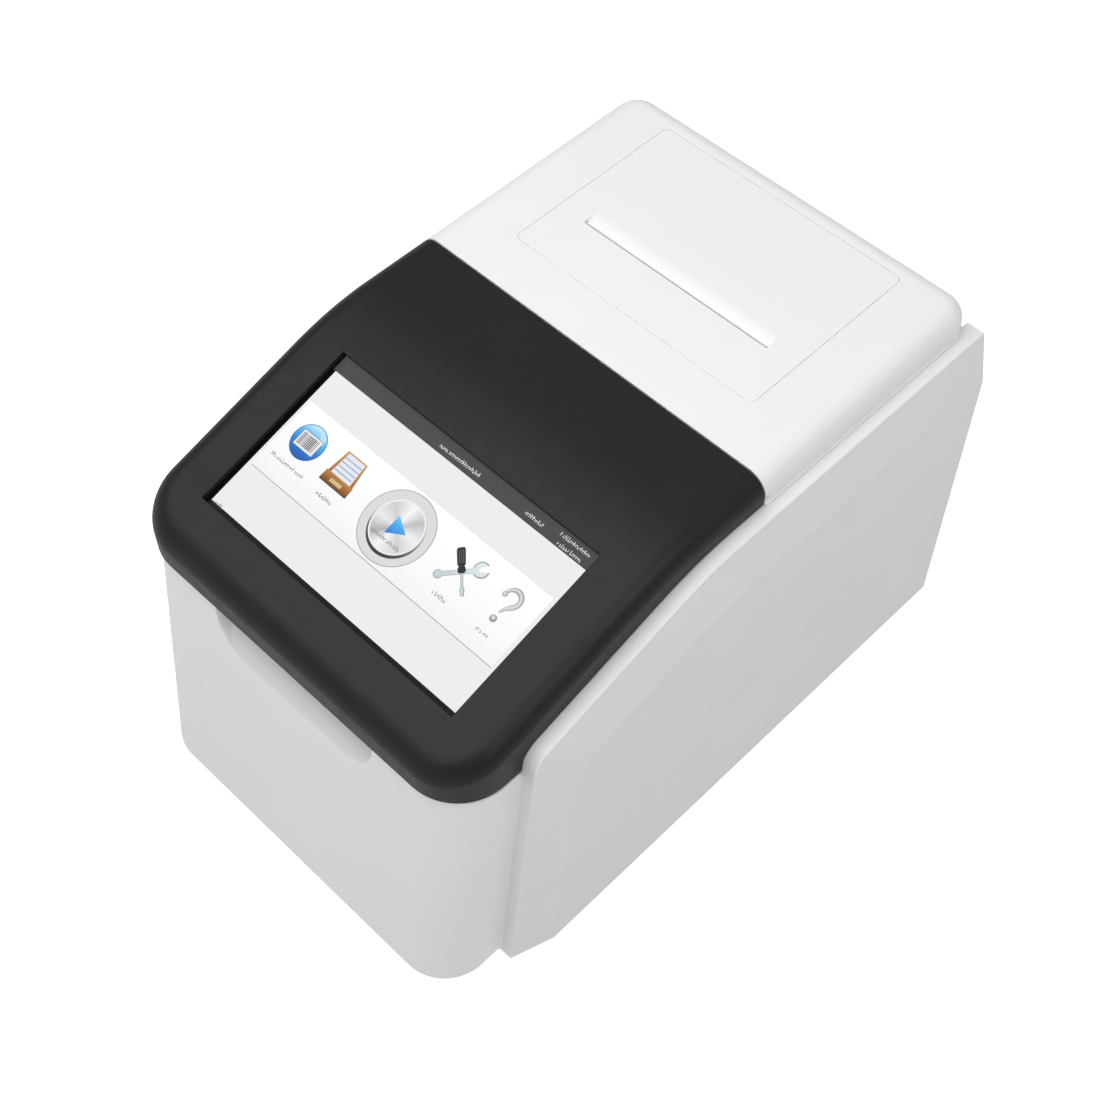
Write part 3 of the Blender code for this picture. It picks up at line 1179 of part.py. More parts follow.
def make_main_board():
    low, high = BOARD_LOW, BOARD_LOW + BOARD_THICK
    board = part("main_board", shell_box(-BOARD_HALF, BOARD_HALF, *BOARD_FRONT, low, high), "board",
                 smooth=False)
    for x, front, wide, deep, tall in BOARD_LUMPS:
        join(board, shell_box(x, x + wide, front, front + deep, high - BOARD_SUNK, high + tall))
    foot, head = WALL + SIT, low + BOARD_SUNK
    for side in (-1, 1):
        for front in (BOARD_FRONT[0] + POST_INSET, BOARD_FRONT[1] - POST_INSET):
            post = place(side * (BOARD_HALF - POST_INSET), front, (foot + head) / 2)
            join(board, rod_mesh(post, "Z", POST_RADIUS, head - foot, 12))


# ---------------------------------------------------------------- assembly
def main():
    start_scene()
    make_base()
    make_side_panel("side_panel_left", -1)
    make_side_panel("side_panel_right", 1)
    make_front_panel()
    make_rear_panel()
    make_rear_cover()
    make_hinge_beam()
    make_deck()
    make_block()
    make_heat_sink()
    make_power_supply()
    make_main_board()
    make_fan()
    make_sockets()
    make_paper_bay()
    make_printer_drive()
    make_printer_door()
    lid_pieces = make_lid()
    for side, label in ((-1, "left"), (1, "right")):
        make_door_bracket(side, label)
        lid_pieces.append(make_hinge_side(side, label))
    press_pieces, plate = make_press()
    ride_on("lid_axis", hinge_axis(), [*lid_pieces, *press_pieces, make_magnet(), plate])


main()
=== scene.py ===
"""Looks of the benchtop thermal cycler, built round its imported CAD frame.

World frame: metres, +Z up, front towards -Y. "front" distances run backwards from the foremost edge
of the shell and "height" is counted from the underside of the shell, as in the CAD source.
"""
import json
import math
import random

import bmesh
import bpy
from mathutils import Matrix, Vector

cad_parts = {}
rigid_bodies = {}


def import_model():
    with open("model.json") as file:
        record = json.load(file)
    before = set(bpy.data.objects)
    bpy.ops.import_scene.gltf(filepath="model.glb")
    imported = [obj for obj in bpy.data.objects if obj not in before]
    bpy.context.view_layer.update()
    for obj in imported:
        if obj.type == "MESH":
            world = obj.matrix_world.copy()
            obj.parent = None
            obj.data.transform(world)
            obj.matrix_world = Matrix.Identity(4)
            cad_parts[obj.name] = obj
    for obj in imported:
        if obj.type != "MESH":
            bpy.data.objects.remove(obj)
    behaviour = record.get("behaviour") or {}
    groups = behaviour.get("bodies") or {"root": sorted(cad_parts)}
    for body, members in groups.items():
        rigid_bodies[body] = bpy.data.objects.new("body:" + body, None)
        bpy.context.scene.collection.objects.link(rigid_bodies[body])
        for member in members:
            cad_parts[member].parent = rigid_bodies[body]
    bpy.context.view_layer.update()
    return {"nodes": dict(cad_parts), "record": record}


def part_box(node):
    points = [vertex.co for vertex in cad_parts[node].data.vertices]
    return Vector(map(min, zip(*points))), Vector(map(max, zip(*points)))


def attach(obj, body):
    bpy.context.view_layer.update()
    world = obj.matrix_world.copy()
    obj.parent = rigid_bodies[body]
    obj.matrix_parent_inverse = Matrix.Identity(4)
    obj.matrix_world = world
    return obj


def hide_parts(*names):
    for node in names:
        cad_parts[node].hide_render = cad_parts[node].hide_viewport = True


for old in list(bpy.data.objects):
    bpy.data.objects.remove(old, do_unlink=True)
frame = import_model()


# ---------------------------------------------------------------- sizes, from the frame or the CAD source
def low(node):
    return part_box(node)[0]


def high(node):
    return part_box(node)[1]


FRONT_Y = low("front_panel").y
BASE_Z = low("front_panel").z
FLOOR_Z = low("foot_front_left").z
HALF_CORE = high("rear_cover").x
SHELL_HEIGHT = high("rear_cover").z - BASE_Z
COVER_LOW = low("rear_cover").z - BASE_Z
COVER_FRONT = low("rear_cover").y - FRONT_Y
COVER_REAR = high("rear_cover").y - FRONT_Y
SEAM = high("lid_shell").y - FRONT_Y
LID_NOSE = low("lid_shell").y - FRONT_Y
LIP_HEIGHT = low("lid_shell").z - BASE_Z
FACE_X = high("side_panel_right").x
PANEL_INNER_X = low("side_panel_right").x
SIDE_REAR = high("side_panel_right").y - FRONT_Y
SIDE_START = low("side_panel_right").y - FRONT_Y
LEDGE_HEIGHT = high("side_panel_right").z - BASE_Z
PANEL_TOP = high("front_panel").z - BASE_Z
PANEL_HALF = high("front_panel").x
DOOR_HALF = high("printer_door").x
DOOR_REAR = high("printer_door").y - FRONT_Y
DOOR_FRONT = DOOR_REAR - 0.1056        # the door's own box also holds its hinge arms

LEDGE_WIDTH = 0.0071
FACET_TOP, FACET_FRONT, FACET_REAR = 0.025, 0.022, 0.003
SCREEN_SLOPE = math.radians(17.4)
SLOPE_START = 0.1418
SLOPE_BLEND = 0.022
LID_SIDE = 0.0215
LID_CORNER = 0.027
LID_EDGE = 0.0105
LID_WALL = 0.003
LID_FOOT, LID_REAR_EDGE, WINDOW_EDGE = 0.0008, 0.0008, 0.00012
FRONT_LEAN = 0.13
SIDE_LEAN = 0.115
SIDE_SHOULDER = 0.013
SIDE_SOFT, SIDE_TOP_CORNER, FACET_CRISP = 0.0006, 0.0015, 0.0003
FACET_FIRST, FACET_LAST = 0.035, 0.985
PANEL_CORNER = 0.025
PANEL_WALL = 0.003
PANEL_SOFT, PANEL_SOFT_MIDDLE = 0.0008, 0.00024
SCREEN_WIDTH, SCREEN_LENGTH, SCREEN_FRONT = 0.160, 0.0911, 0.0407
SCOOP_HALF, SCOOP_BOTTOM, SCOOP_DEPTH = 0.052, 0.124, 0.0135
SCOOP_CORNER, SCOOP_REACH = 0.022, 0.026
SCOOP_TILT, SCOOP_SIDE, SCOOP_BLEND = 0.24, 1.35, 0.0012
# painted shade for the finger scoop: base-colour factors, darker the deeper it sinks under the lid
SCOOP_PAINTED_SHADE = ((0.0, (1, 1, 1)), (0.02, (0.86, 0.86, 0.86)), (0.35, (0.74, 0.74, 0.74)),
               (1.0, (0.60, 0.60, 0.60)))
SCOOP_CURVE = (SCOOP_DEPTH - SCOOP_TILT * SCOOP_REACH) / SCOOP_REACH ** 2
DOOR_CORNER, DOOR_LINE, DOOR_TAPER = 0.003, 0.00012, 0.0013
DOOR_LIP, DOOR_HOLE_LIP = 0.00026, 0.00022
DOOR_ARM_X, DOOR_ARM_HALF, DOOR_BORE, DOOR_SETBACK = 0.048, 0.003, 0.0013, 0.0085
DOOR_KNUCKLE, DOOR_DIP, DOOR_REACH, DOOR_BAR, DOOR_PAD = 0.0022, 0.0105, 0.0110, 0.0024, 0.008
SLOT_HALF, SLOT_FRONT, SLOT_REAR = 0.0567, 0.2597, 0.2693
SLOT_THROAT, SLOT_CORNER, SLOT_SOFT = 0.0018, 0.0007, 0.0003
WALL = 0.0025
SEAM_ROUND = 0.0014
FLANGE, FLANGE_ROOT, FLANGE_EDGE, FLANGE_TOP = 0.0011, 0.0006, 0.00012, 0.00042
COVER_CORNER = 0.014
CLEAR = 0.0004
ARM_SLOT_CLEAR = 0.001
SCREW_EDGE = 0.011
SCREW_PROFILE = (("circle", 0.0026, -0.0002), ("circle", 0.0027, 0.0001), ("circle", 0.0027, 0.0006),
                 ("circle", 0.0025, 0.0010), ("circle", 0.0021, 0.0013), ("hexagon", 0.00135, 0.0014),
                 ("hexagon", 0.00125, 0.0013), ("hexagon", 0.00125, 0.0004))
JOINT_FILLET, JOINT_GAP = 0.0014, 0.00004
SIT = 0.0003
RISE = math.tan(SCREEN_SLOPE)


def place(x, front, height):
    return Vector((x, FRONT_Y + front, BASE_Z + height))


def bent(front, level, start):
    """Height of a line that is level at the back and slopes down in front of start."""
    ahead = start - front
    if ahead <= -SLOPE_BLEND:
        return level
    if ahead >= SLOPE_BLEND:
        return level - RISE * ahead
    return level - RISE * (ahead + SLOPE_BLEND) ** 2 / (4 * SLOPE_BLEND)


def lid_top(front):
    return bent(front, SHELL_HEIGHT, SLOPE_START)


LEDGE_START = SLOPE_START + (LID_SIDE - (SHELL_HEIGHT - LEDGE_HEIGHT)) / RISE


def side_front(height):
    return SIDE_START + SIDE_LEAN * height


def shoulder():
    run = SIDE_SHOULDER * math.sqrt(1 + SIDE_LEAN ** 2)
    drop = SIDE_SHOULDER / math.cos(SCREEN_SLOPE)
    level = LEDGE_HEIGHT - RISE * LEDGE_START - drop
    height = (level + RISE * (SIDE_START + run)) / (1 - RISE * SIDE_LEAN)
    return side_front(height) + run, height


SHOULDER_FRONT, SHOULDER_HEIGHT = shoulder()


def lid_lip(front):
    """Height of the lid's lower edge: over the ledge, round the shoulder, level at the front."""
    reach = SIDE_SHOULDER + CLEAR
    ahead = SHOULDER_FRONT - front
    if ahead >= reach:
        return LIP_HEIGHT
    if ahead <= reach * math.sin(SCREEN_SLOPE):
        return bent(front, LEDGE_HEIGHT, LEDGE_START) + CLEAR
    return max(LIP_HEIGHT, SHOULDER_HEIGHT + math.sqrt(reach ** 2 - ahead ** 2))


def arc(middle, radius, first, last, steps):
    points = []
    for step in range(steps + 1):
        angle = math.radians(first + (last - first) * step / steps)
        points.append((middle[0] + radius * math.cos(angle), middle[1] + radius * math.sin(angle)))
    return points


def spread(first, last, steps):
    return [first + (last - first) * step / steps for step in range(steps + 1)]


def rounded_rectangle(half_width, near, far, radius, steps=5):
    right, left = half_width - radius, radius - half_width
    return (arc((right, far - radius), radius, 0, 90, steps)
            + arc((left, far - radius), radius, 90, 180, steps)
            + arc((left, near + radius), radius, 180, 270, steps)
            + arc((right, near + radius), radius, 270, 360, steps))


# ---------------------------------------------------------------- mesh helpers
def bridge(mesh, lower, upper):
    """Quads between two closed loops of as many vertices."""
    for i in range(len(lower)):
        j = (i + 1) % len(lower)
        mesh.faces.new((lower[i], lower[j], upper[j], upper[i]))


def loops_of(mesh, rings):
    loops = [[mesh.verts.new(point) for point in ring] for ring in rings]
    for lower, upper in zip(loops, loops[1:]):
        bridge(mesh, lower, upper)
    return loops


def fill_between(mesh, *loops):
    """Fills a flat region bounded by closed loops of vertices, holes included."""
    edges = []
    for loop in loops:
        for i, vert in enumerate(loop):
            after = loop[(i + 1) % len(loop)]
            edges.append(mesh.edges.get((vert, after)) or mesh.edges.new((vert, after)))
    bmesh.ops.triangle_fill(mesh, use_beauty=True, use_dissolve=False, edges=edges)


def round_edges(mesh, chosen, width, segments=3):
    edges = [edge for edge in mesh.edges if chosen(edge)]
    verts = list(dict.fromkeys(vert for edge in edges for vert in edge.verts))
    bmesh.ops.bevel(mesh, geom=verts + edges, offset=width, offset_type="OFFSET", segments=segments,
                    profile=0.5, affect="EDGES", clamp_overlap=True)


def show(name, mesh, material, body, replaces=(), matrix=None, smooth=35):
    """Makes the piece: one mesh, one material, riding on a CAD body."""
    bmesh.ops.recalc_face_normals(mesh, faces=mesh.faces)
    data = bpy.data.meshes.new(name)
    mesh.to_mesh(data)
    mesh.free()
    made = bpy.data.objects.new(name, data)
    bpy.context.scene.collection.objects.link(made)
    if matrix is not None:
        made.matrix_world = matrix
    data.materials.append(material)
    if smooth:
        data.shade_smooth()
        data.set_sharp_from_angle(angle=math.radians(smooth))
        weigh = made.modifiers.new("normals", "WEIGHTED_NORMAL")
        weigh.keep_sharp = True
        weigh.weight = 100
    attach(made, body)
    if replaces:
        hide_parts(*replaces)


def plate(outline, holes, near, far, lift):
    """A flat plate with holes: lift turns an outline point and a depth into a point."""
    mesh = bmesh.new()
    sides = [[[mesh.verts.new(lift(a, b, depth)) for a, b in loop] for loop in (outline, *holes)]
             for depth in (near, far)]
    for lower, upper in zip(*sides):
        bridge(mesh, lower, upper)
    for loops in sides:
        fill_between(mesh, *loops)
    return mesh


# ---------------------------------------------------------------- materials
def start_material(name):
    made = bpy.data.materials.new(name)
    made.use_nodes = True
    tree = made.node_tree
    return made, tree, tree.nodes["Principled BSDF"]


def noise(tree, size, detail=2.0, stretch=(1, 1, 1), seed=0.0):
    """A noise whose features are size metres across, in the piece's own space."""
    place_in = tree.nodes.new("ShaderNodeTexCoord")
    mapping = tree.nodes.new("ShaderNodeMapping")
    mapping.inputs["Scale"].default_value = stretch
    mapping.inputs["Location"].default_value = (seed, seed * 0.7, seed * 1.3)
    texture = tree.nodes.new("ShaderNodeTexNoise")
    texture.inputs["Scale"].default_value = 1.0 / size
    texture.inputs["Detail"].default_value = detail
    tree.links.new(place_in.outputs["Object"], mapping.inputs["Vector"])
    tree.links.new(mapping.outputs["Vector"], texture.inputs["Vector"])
    return texture.outputs["Fac"]


def ramp(tree, factor, stops):
    made = tree.nodes.new("ShaderNodeValToRGB")
    tree.links.new(factor, made.inputs["Fac"])
    while len(made.color_ramp.elements) < len(stops):
        made.color_ramp.elements.new(0.5)
    for element, (position, color) in zip(made.color_ramp.elements, stops):
        element.position = position
        element.color = (*color, 1.0)
    return made.outputs["Color"]


def remap(tree, factor, first, last, from_low=0.3, from_high=0.7):
    made = tree.nodes.new("ShaderNodeMapRange")
    made.inputs["From Min"].default_value = from_low
    made.inputs["From Max"].default_value = from_high
    made.inputs["To Min"].default_value = first
    made.inputs["To Max"].default_value = last
    tree.links.new(factor, made.inputs["Value"])
    return made.outputs["Result"]


def bump(tree, factor, depth, under=None):
    made = tree.nodes.new("ShaderNodeBump")
    made.inputs["Distance"].default_value = depth
    tree.links.new(factor, made.inputs["Height"])
    if under:
        tree.links.new(under, made.inputs["Normal"])
    return made.outputs["Normal"]


def tint(color, factor):
    return tuple(min(1.0, channel * factor) for channel in color)


def moulded(name, color, rough, grain=0.0005, depth=0.000012, cloud=0.02, metallic=0.0, seed=0.0,
            stretch=(1, 1, 1), **sockets):
    """Plastic, rubber or metal with fine grain, soft clouding and uneven gloss."""
    made, tree, shader = start_material(name)
    broad = noise(tree, 0.05, 2.0, seed=seed)
    tree.links.new(ramp(tree, broad, ((0.3, tint(color, 1 - cloud)), (0.7, tint(color, 1 + cloud)))),
                   shader.inputs["Base Color"])
    patch = noise(tree, 0.009, 3.0, stretch, seed + 3)
    tree.links.new(remap(tree, patch, rough - 0.035, rough + 0.035), shader.inputs["Roughness"])
    fine = noise(tree, grain, 2.0, stretch, seed + 7)
    swell = bump(tree, noise(tree, 0.02, 1.0, seed=seed + 5), depth * 2)
    tree.links.new(bump(tree, fine, depth, under=swell), shader.inputs["Normal"])
    shader.inputs["Metallic"].default_value = metallic
    for socket, value in sockets.items():
        shader.inputs[socket.replace("_", " ")].default_value = value
    return made


def paint_scoop_shade(material):
    """Painted shade: darkens the base colour of the finger scoop with the distance sunk behind the leaning
    face, standing in for the shadow under the lid.
    """
    tree = material.node_tree
    shader = tree.nodes["Principled BSDF"]
    color = shader.inputs["Base Color"].links[0].from_socket
    coords = tree.nodes.new("ShaderNodeTexCoord")
    across_face = tree.nodes.new("ShaderNodeVectorMath")
    across_face.operation = "DOT_PRODUCT"
    across_face.inputs[1].default_value = (0.0, 1.0, -FRONT_LEAN)
    tree.links.new(coords.outputs["Object"], across_face.inputs[0])
    flush = FRONT_Y - FRONT_LEAN * BASE_Z
    sunk = remap(tree, across_face.outputs["Value"], 0.0, 1.0, flush, flush + SCOOP_DEPTH)
    split = tree.nodes.new("ShaderNodeSeparateXYZ")
    tree.links.new(coords.outputs["Object"], split.inputs["Vector"])
    aside = tree.nodes.new("ShaderNodeMath")
    aside.operation = "ABSOLUTE"
    tree.links.new(split.outputs["X"], aside.inputs[0])
    within = tree.nodes.new("ShaderNodeMath")
    within.operation = "LESS_THAN"
    within.inputs[1].default_value = SCOOP_HALF
    tree.links.new(aside.outputs["Value"], within.inputs[0])
    factor = tree.nodes.new("ShaderNodeMath")
    factor.operation = "MULTIPLY"
    tree.links.new(sunk, factor.inputs[0])
    tree.links.new(within.outputs["Value"], factor.inputs[1])
    # painted shade: the scoop's colour gets darker deeper under the lid
    tone = ramp(tree, factor.outputs["Value"], SCOOP_PAINTED_SHADE)
    mix = tree.nodes.new("ShaderNodeMix")
    mix.data_type = "RGBA"
    mix.blend_type = "MULTIPLY"
    mix.inputs["Factor"].default_value = 1.0
    tree.links.new(color, mix.inputs["A"])
    tree.links.new(tone, mix.inputs["B"])
    tree.links.new(mix.outputs["Result"], shader.inputs["Base Color"])


def circuit(name, color):
    """Solder mask with darker copper tracks under it."""
    made, tree, shader = start_material(name)
    tracks = noise(tree, 0.0035, 0.0, (1, 0.2, 1), 2.0)
    veins = noise(tree, 0.0035, 0.0, (0.2, 1, 1), 9.0)
    first = ramp(tree, tracks, ((0.49, tint(color, 0.75)), (0.51, tint(color, 1.25))))
    second = ramp(tree, veins, ((0.49, tint(color, 0.85)), (0.51, tint(color, 1.2))))
    mix = tree.nodes.new("ShaderNodeMix")
    mix.data_type = "RGBA"
    mix.inputs["Factor"].default_value = 0.5
    tree.links.new(first, mix.inputs["A"])
    tree.links.new(second, mix.inputs["B"])
    tree.links.new(mix.outputs["Result"], shader.inputs["Base Color"])
    tree.links.new(bump(tree, tracks, 0.00003), shader.inputs["Normal"])
    shader.inputs["Roughness"].default_value = 0.35
    return made


WHITE = moulded("white_plastic", (0.83, 0.83, 0.835), 0.36, 0.0006, 0.000006, 0.008)
SIDE = moulded("side_plastic", (0.80, 0.80, 0.805), 0.46, 0.0007, 0.00001, 0.010, seed=4)
BLACK = moulded("black_plastic", (0.0145, 0.0145, 0.0149), 0.42, 0.0006, 0.000016, 0.05, seed=8,
                Specular_IOR_Level=0.20)
DARK = moulded("dark_plastic", (0.022, 0.022, 0.024), 0.52, 0.0007, 0.00003, 0.06, seed=11)
GREY = moulded("grey_plastic", (0.33, 0.34, 0.355), 0.5, 0.0007, 0.00002, 0.03, seed=15)
BOARD = circuit("solder_mask", (0.015, 0.13, 0.055))
STEEL = moulded("zinc_steel", (0.56, 0.57, 0.58), 0.3, 0.0004, 0.00001, 0.07, 1.0, 19, (1, 8, 8))
ALUMINIUM = moulded("blasted_aluminium", (0.78, 0.785, 0.79), 0.36, 0.00045, 0.00002, 0.03, 1.0, 23)
CERAMIC = moulded("alumina", (0.84, 0.83, 0.79), 0.6, 0.0005, 0.00002, 0.02, seed=27)
# the white plastic again, with painted shade darkening the finger scoop
FRONT_WHITE_PAINTED_SHADE = moulded("front_white_plastic_painted_shade", (0.83, 0.83, 0.835), 0.36, 0.0006, 0.000006, 0.008)
paint_scoop_shade(FRONT_WHITE_PAINTED_SHADE)
PAPER = moulded("ticket_paper", (0.88, 0.87, 0.84), 0.85, 0.0004, 0.00003, 0.02, seed=31, stretch=(1, 3, 3))
RUBBER = moulded("black_rubber", (0.02, 0.02, 0.02), 0.72, 0.0007, 0.00005, 0.12, seed=35)
GLASS = moulded("screen_glass", (0.004, 0.004, 0.0045), 0.16, 0.004, 0.000002, 0.02, seed=39,
                Specular_IOR_Level=0.08)
BY_SLOT = {"white_shell": WHITE, "side_shell": SIDE, "black_shell": BLACK, "dark_plastic": DARK,
           "grey_plastic": GREY, "screen_glass": GLASS, "circuit_board": BOARD, "steel": STEEL,
           "aluminium": ALUMINIUM, "ceramic": CERAMIC, "paper": PAPER, "rubber": RUBBER}

for row in frame["record"]["subparts"]:
    node = frame["nodes"][row["node"]]
    node.data.materials.clear()
    node.data.materials.append(BY_SLOT[row["material_slot"]])


# ---------------------------------------------------------------- lid shell
HOLE_REAR = SCREEN_FRONT + SCREEN_LENGTH * math.cos(SCREEN_SLOPE)


def lid_fronts(rear):
    """Front distances of the points along the lid's side, rear to front."""
    last = LID_NOSE + LID_CORNER
    fronts = {round(value, 6) for value in spread(last + 0.0009, 0.071, 34)}
    fronts |= {round(value, 6) for value in spread(0.0735, SEAM - 0.005, 50)}
    fronts = {front for front in fronts if abs(front - HOLE_REAR) > 0.0008 and front < rear - 0.001}
    fronts.add(HOLE_REAR)
    return [rear, *sorted(fronts, reverse=True)]


def lid_half(inset, rear):
    """Right half of the lid in plan, rear to front; the arc has a point level with the screen's edge."""
    half, radius, nose = HALF_CORE - inset, LID_CORNER - inset, LID_NOSE + inset
    right = [(half, front) for front in lid_fronts(rear)]
    return right + arc((half - radius, nose + radius), radius, 0, -90, 22)


def lid_layers(edge, shrink, steps):
    layers = []
    for step in range(steps + 1):
        angle = math.radians(90 * step / steps)
        fall = shrink + edge * (1 - math.sin(angle))
        layers.append((shrink + edge * (1 - math.cos(angle)), lambda front, f=fall: lid_top(front) - f))
    return layers


def lid_rings(layers, rear):
    rings = []
    for inset, height in layers:
        right = lid_half(inset, rear)
        ring = [place(x, front, height(front)) for x, front in right]
        rings.append(ring + [place(-x, front, height(front)) for x, front in reversed(right)])
    return rings


def cap_with_window(mesh, loop, depth):
    """Strips across the lid's top, with the display's opening left out; returns its rim."""
    count = len(loop)
    half = count // 2
    fronts = [vert.co.y - FRONT_Y for vert in loop[:half]]
    inside = [i for i, front in enumerate(fronts)
              if SCREEN_FRONT - 1e-6 < front < HOLE_REAR + 1e-6]
    rims = {}
    rows = [fronts[i] for i in inside]
    rows[-1] = SCREEN_FRONT
    for i, front in zip(inside, rows):
        at = front + depth * math.sin(SCREEN_SLOPE)
        height = lid_top(at) - depth / math.cos(SCREEN_SLOPE)
        rims[i] = [mesh.verts.new(place(side * SCREEN_WIDTH / 2, at, height)) for side in (1, -1)]
    for i in range(half - 1):
        a, b, c, d = loop[i], loop[i + 1], loop[count - 2 - i], loop[count - 1 - i]
        if i in rims and i + 1 in rims:
            mesh.faces.new((a, b, rims[i + 1][0], rims[i][0]))
            mesh.faces.new((d, rims[i][1], rims[i + 1][1], c))
        elif i + 1 in rims:
            mesh.faces.new((a, b, rims[i + 1][0], rims[i + 1][1], c, d))
        elif i in rims:
            mesh.faces.new((a, b, c, d, rims[i][1], rims[i][0]))
        else:
            mesh.faces.new((a, b, c, d))
    return [rims[i][0] for i in inside] + [rims[i][1] for i in reversed(inside)]


def make_lid_shell():
    mesh = bmesh.new()
    foot = [(LID_FOOT * (1 - math.sin(math.radians(angle))),
             lambda front, f=LID_FOOT * (1 - math.cos(math.radians(angle))): lid_lip(front) + f)
            for angle in (0, 30, 60, 90)]
    outer = loops_of(mesh, lid_rings(foot + lid_layers(LID_EDGE, 0, 18), SEAM))
    inner = loops_of(mesh, lid_rings(
        [(LID_WALL, lambda front: lid_lip(front) + 0.0002)] + lid_layers(LID_EDGE - LID_WALL, LID_WALL, 5),
        SEAM - LID_WALL))
    bridge(mesh, outer[0], inner[0])
    rim = cap_with_window(mesh, outer[-1], 0)
    deep = cap_with_window(mesh, inner[-1], LID_WALL)
    bridge(mesh, rim, deep)
    rear_y = FRONT_Y + SEAM
    top_z = BASE_Z + lid_lip(SEAM) + LID_FOOT - 1e-5
    face = {face for face in mesh.faces if all(abs(vert.co.y - rear_y) < 1e-6 for vert in face.verts)}

    def rear_edge(edge):
        return (len(edge.link_faces) == 2 and (edge.link_faces[0] in face) != (edge.link_faces[1] in face)
                and min(vert.co.z for vert in edge.verts) > top_z)

    window = set(rim)
    round_edges(mesh, lambda edge: edge.verts[0] in window and edge.verts[1] in window
                and len(edge.link_faces) == 2 and edge.calc_face_angle(0) > 0.8, WINDOW_EDGE, 2)
    round_edges(mesh, rear_edge, LID_REAR_EDGE)
    show("lid_shell_skin", mesh, BLACK, "lid", ["lid_shell"])


# ---------------------------------------------------------------- rear cover and printer door
def cover_rings(layers, seam):
    rings = []
    for inset, height in layers:
        flare, inset = max(0.0, -inset), max(0.0, inset)
        half, rear = HALF_CORE - inset, COVER_REAR - inset
        radius = COVER_CORNER - inset
        right = [(half + flare, front) for front in spread(seam, rear - radius - 0.002, 12)]
        bend = arc((half - radius, rear - radius), radius, 0, 90, 18)
        right += [(x + flare * math.cos(math.radians(5 * step)) ** 2, front)
                  for step, (x, front) in enumerate(bend)]
        ring = [place(x, front, height) for x, front in right]
        ring += [place(-x, front, height) for x, front in reversed(right)]
        rings.append(ring + [place(x, seam, height) for x in slot_sides()])
    return rings


def slot_sides():
    """The sides of the two slots that the lid's hinge arms pass through, left to right."""
    near, far = low("hinge_arm_right").x - ARM_SLOT_CLEAR, high("hinge_arm_right").x + ARM_SLOT_CLEAR
    return [-far, -near, near, far]


def open_slot(mesh, outer, inner, first):
    """Cuts a slot through the cover's front wall, from its foot up to the last of the given loops.

    Returns the vertices of its walls."""
    sides = (first, first + 1)
    for loops in (outer, inner):
        for lower, upper in zip(loops, loops[1:]):
            mesh.faces.remove(mesh.faces.get([loop[i] for loop, i in (
                (lower, sides[0]), (lower, sides[1]), (upper, sides[1]), (upper, sides[0]))]))
    mesh.faces.remove(mesh.faces.get((outer[0][sides[0]], outer[0][sides[1]],
                                      inner[0][sides[1]], inner[0][sides[0]])))
    for i in sides:
        mesh.faces.new([loop[i] for loop in outer] + [loop[i] for loop in reversed(inner)])
    mesh.faces.new((outer[-1][sides[0]], outer[-1][sides[1]], inner[-1][sides[1]], inner[-1][sides[0]]))
    return {loop[i] for loop in outer + inner for i in sides}


def make_rear_cover():
    slot_top = (low("hinge_pin_right").z + high("hinge_pin_right").z) / 2 - ARM_SLOT_CLEAR - BASE_Z
    mesh = bmesh.new()
    flange = [(FLANGE_EDGE - FLANGE, 0.0), (-FLANGE, FLANGE_EDGE), (-FLANGE, FLANGE_TOP - FLANGE_EDGE),
              (FLANGE_EDGE - FLANGE, FLANGE_TOP)]
    flange += [(-FLANGE_ROOT * (1 - math.sin(math.radians(angle))),
                FLANGE_TOP + FLANGE_ROOT * (1 - math.cos(math.radians(angle)))) for angle in (0, 30, 60, 90)]
    foot = [(inset, COVER_LOW + height) for inset, height in flange]

    def bend(shrink, step):
        """Layers up the rounded edge, one of them level with the top of the slots."""
        edge = LID_EDGE - shrink
        at_slot = math.degrees(math.asin(1 - (SHELL_HEIGHT - shrink - slot_top) / edge))
        angles = sorted([*range(0, 91, step), at_slot])
        return [(shrink + edge * (1 - math.cos(math.radians(angle))),
                 SHELL_HEIGHT - shrink - edge * (1 - math.sin(math.radians(angle)))) for angle in angles]

    outside, inside = foot + bend(0, 5), [(WALL, COVER_LOW)] + bend(WALL, 18)
    outer = loops_of(mesh, cover_rings(outside, COVER_FRONT))
    inner = loops_of(mesh, cover_rings(inside, COVER_FRONT + WALL))
    bridge(mesh, outer[0], inner[0])
    up = [[height < slot_top + 1e-6 for _, height in layers].count(True) for layers in (outside, inside)]
    slots = set()
    for first in (len(outer[0]) - 4, len(outer[0]) - 2):
        slots |= open_slot(mesh, outer[:up[0]], inner[:up[1]], first)
    for edge in [edge for edge in mesh.edges if edge.is_wire]:
        mesh.edges.remove(edge)
    lip = DOOR_HOLE_LIP
    rims = []
    for grow, drop in ((lip, 0), (lip * 0.3, lip * 0.3), (0, lip), (0.0002, WALL)):
        grow += DOOR_LINE
        outline = rounded_rectangle(DOOR_HALF + grow, DOOR_FRONT - grow, DOOR_REAR + grow,
                                    DOOR_CORNER + grow)
        rims.append([place(x, front, SHELL_HEIGHT - drop) for x, front in outline])
    rims = loops_of(mesh, rims)
    fill_between(mesh, outer[-1], rims[0])
    fill_between(mesh, inner[-1], rims[-1])
    front_y = FRONT_Y + COVER_FRONT
    face = {face for face in mesh.faces if all(abs(vert.co.y - front_y) < 1e-6 for vert in face.verts)}
    round_edges(mesh, lambda e: len(e.link_faces) == 2
                and (e.link_faces[0] in face) != (e.link_faces[1] in face)
                and not (e.verts[0] in slots and e.verts[1] in slots)
                and min(vert.co.z for vert in e.verts) > BASE_Z + COVER_LOW + 0.004, SEAM_ROUND, 5)
    bmesh.ops.remove_doubles(mesh, verts=mesh.verts, dist=1e-6)
    show("rear_cover_skin", mesh, WHITE, "base", ["rear_cover"])


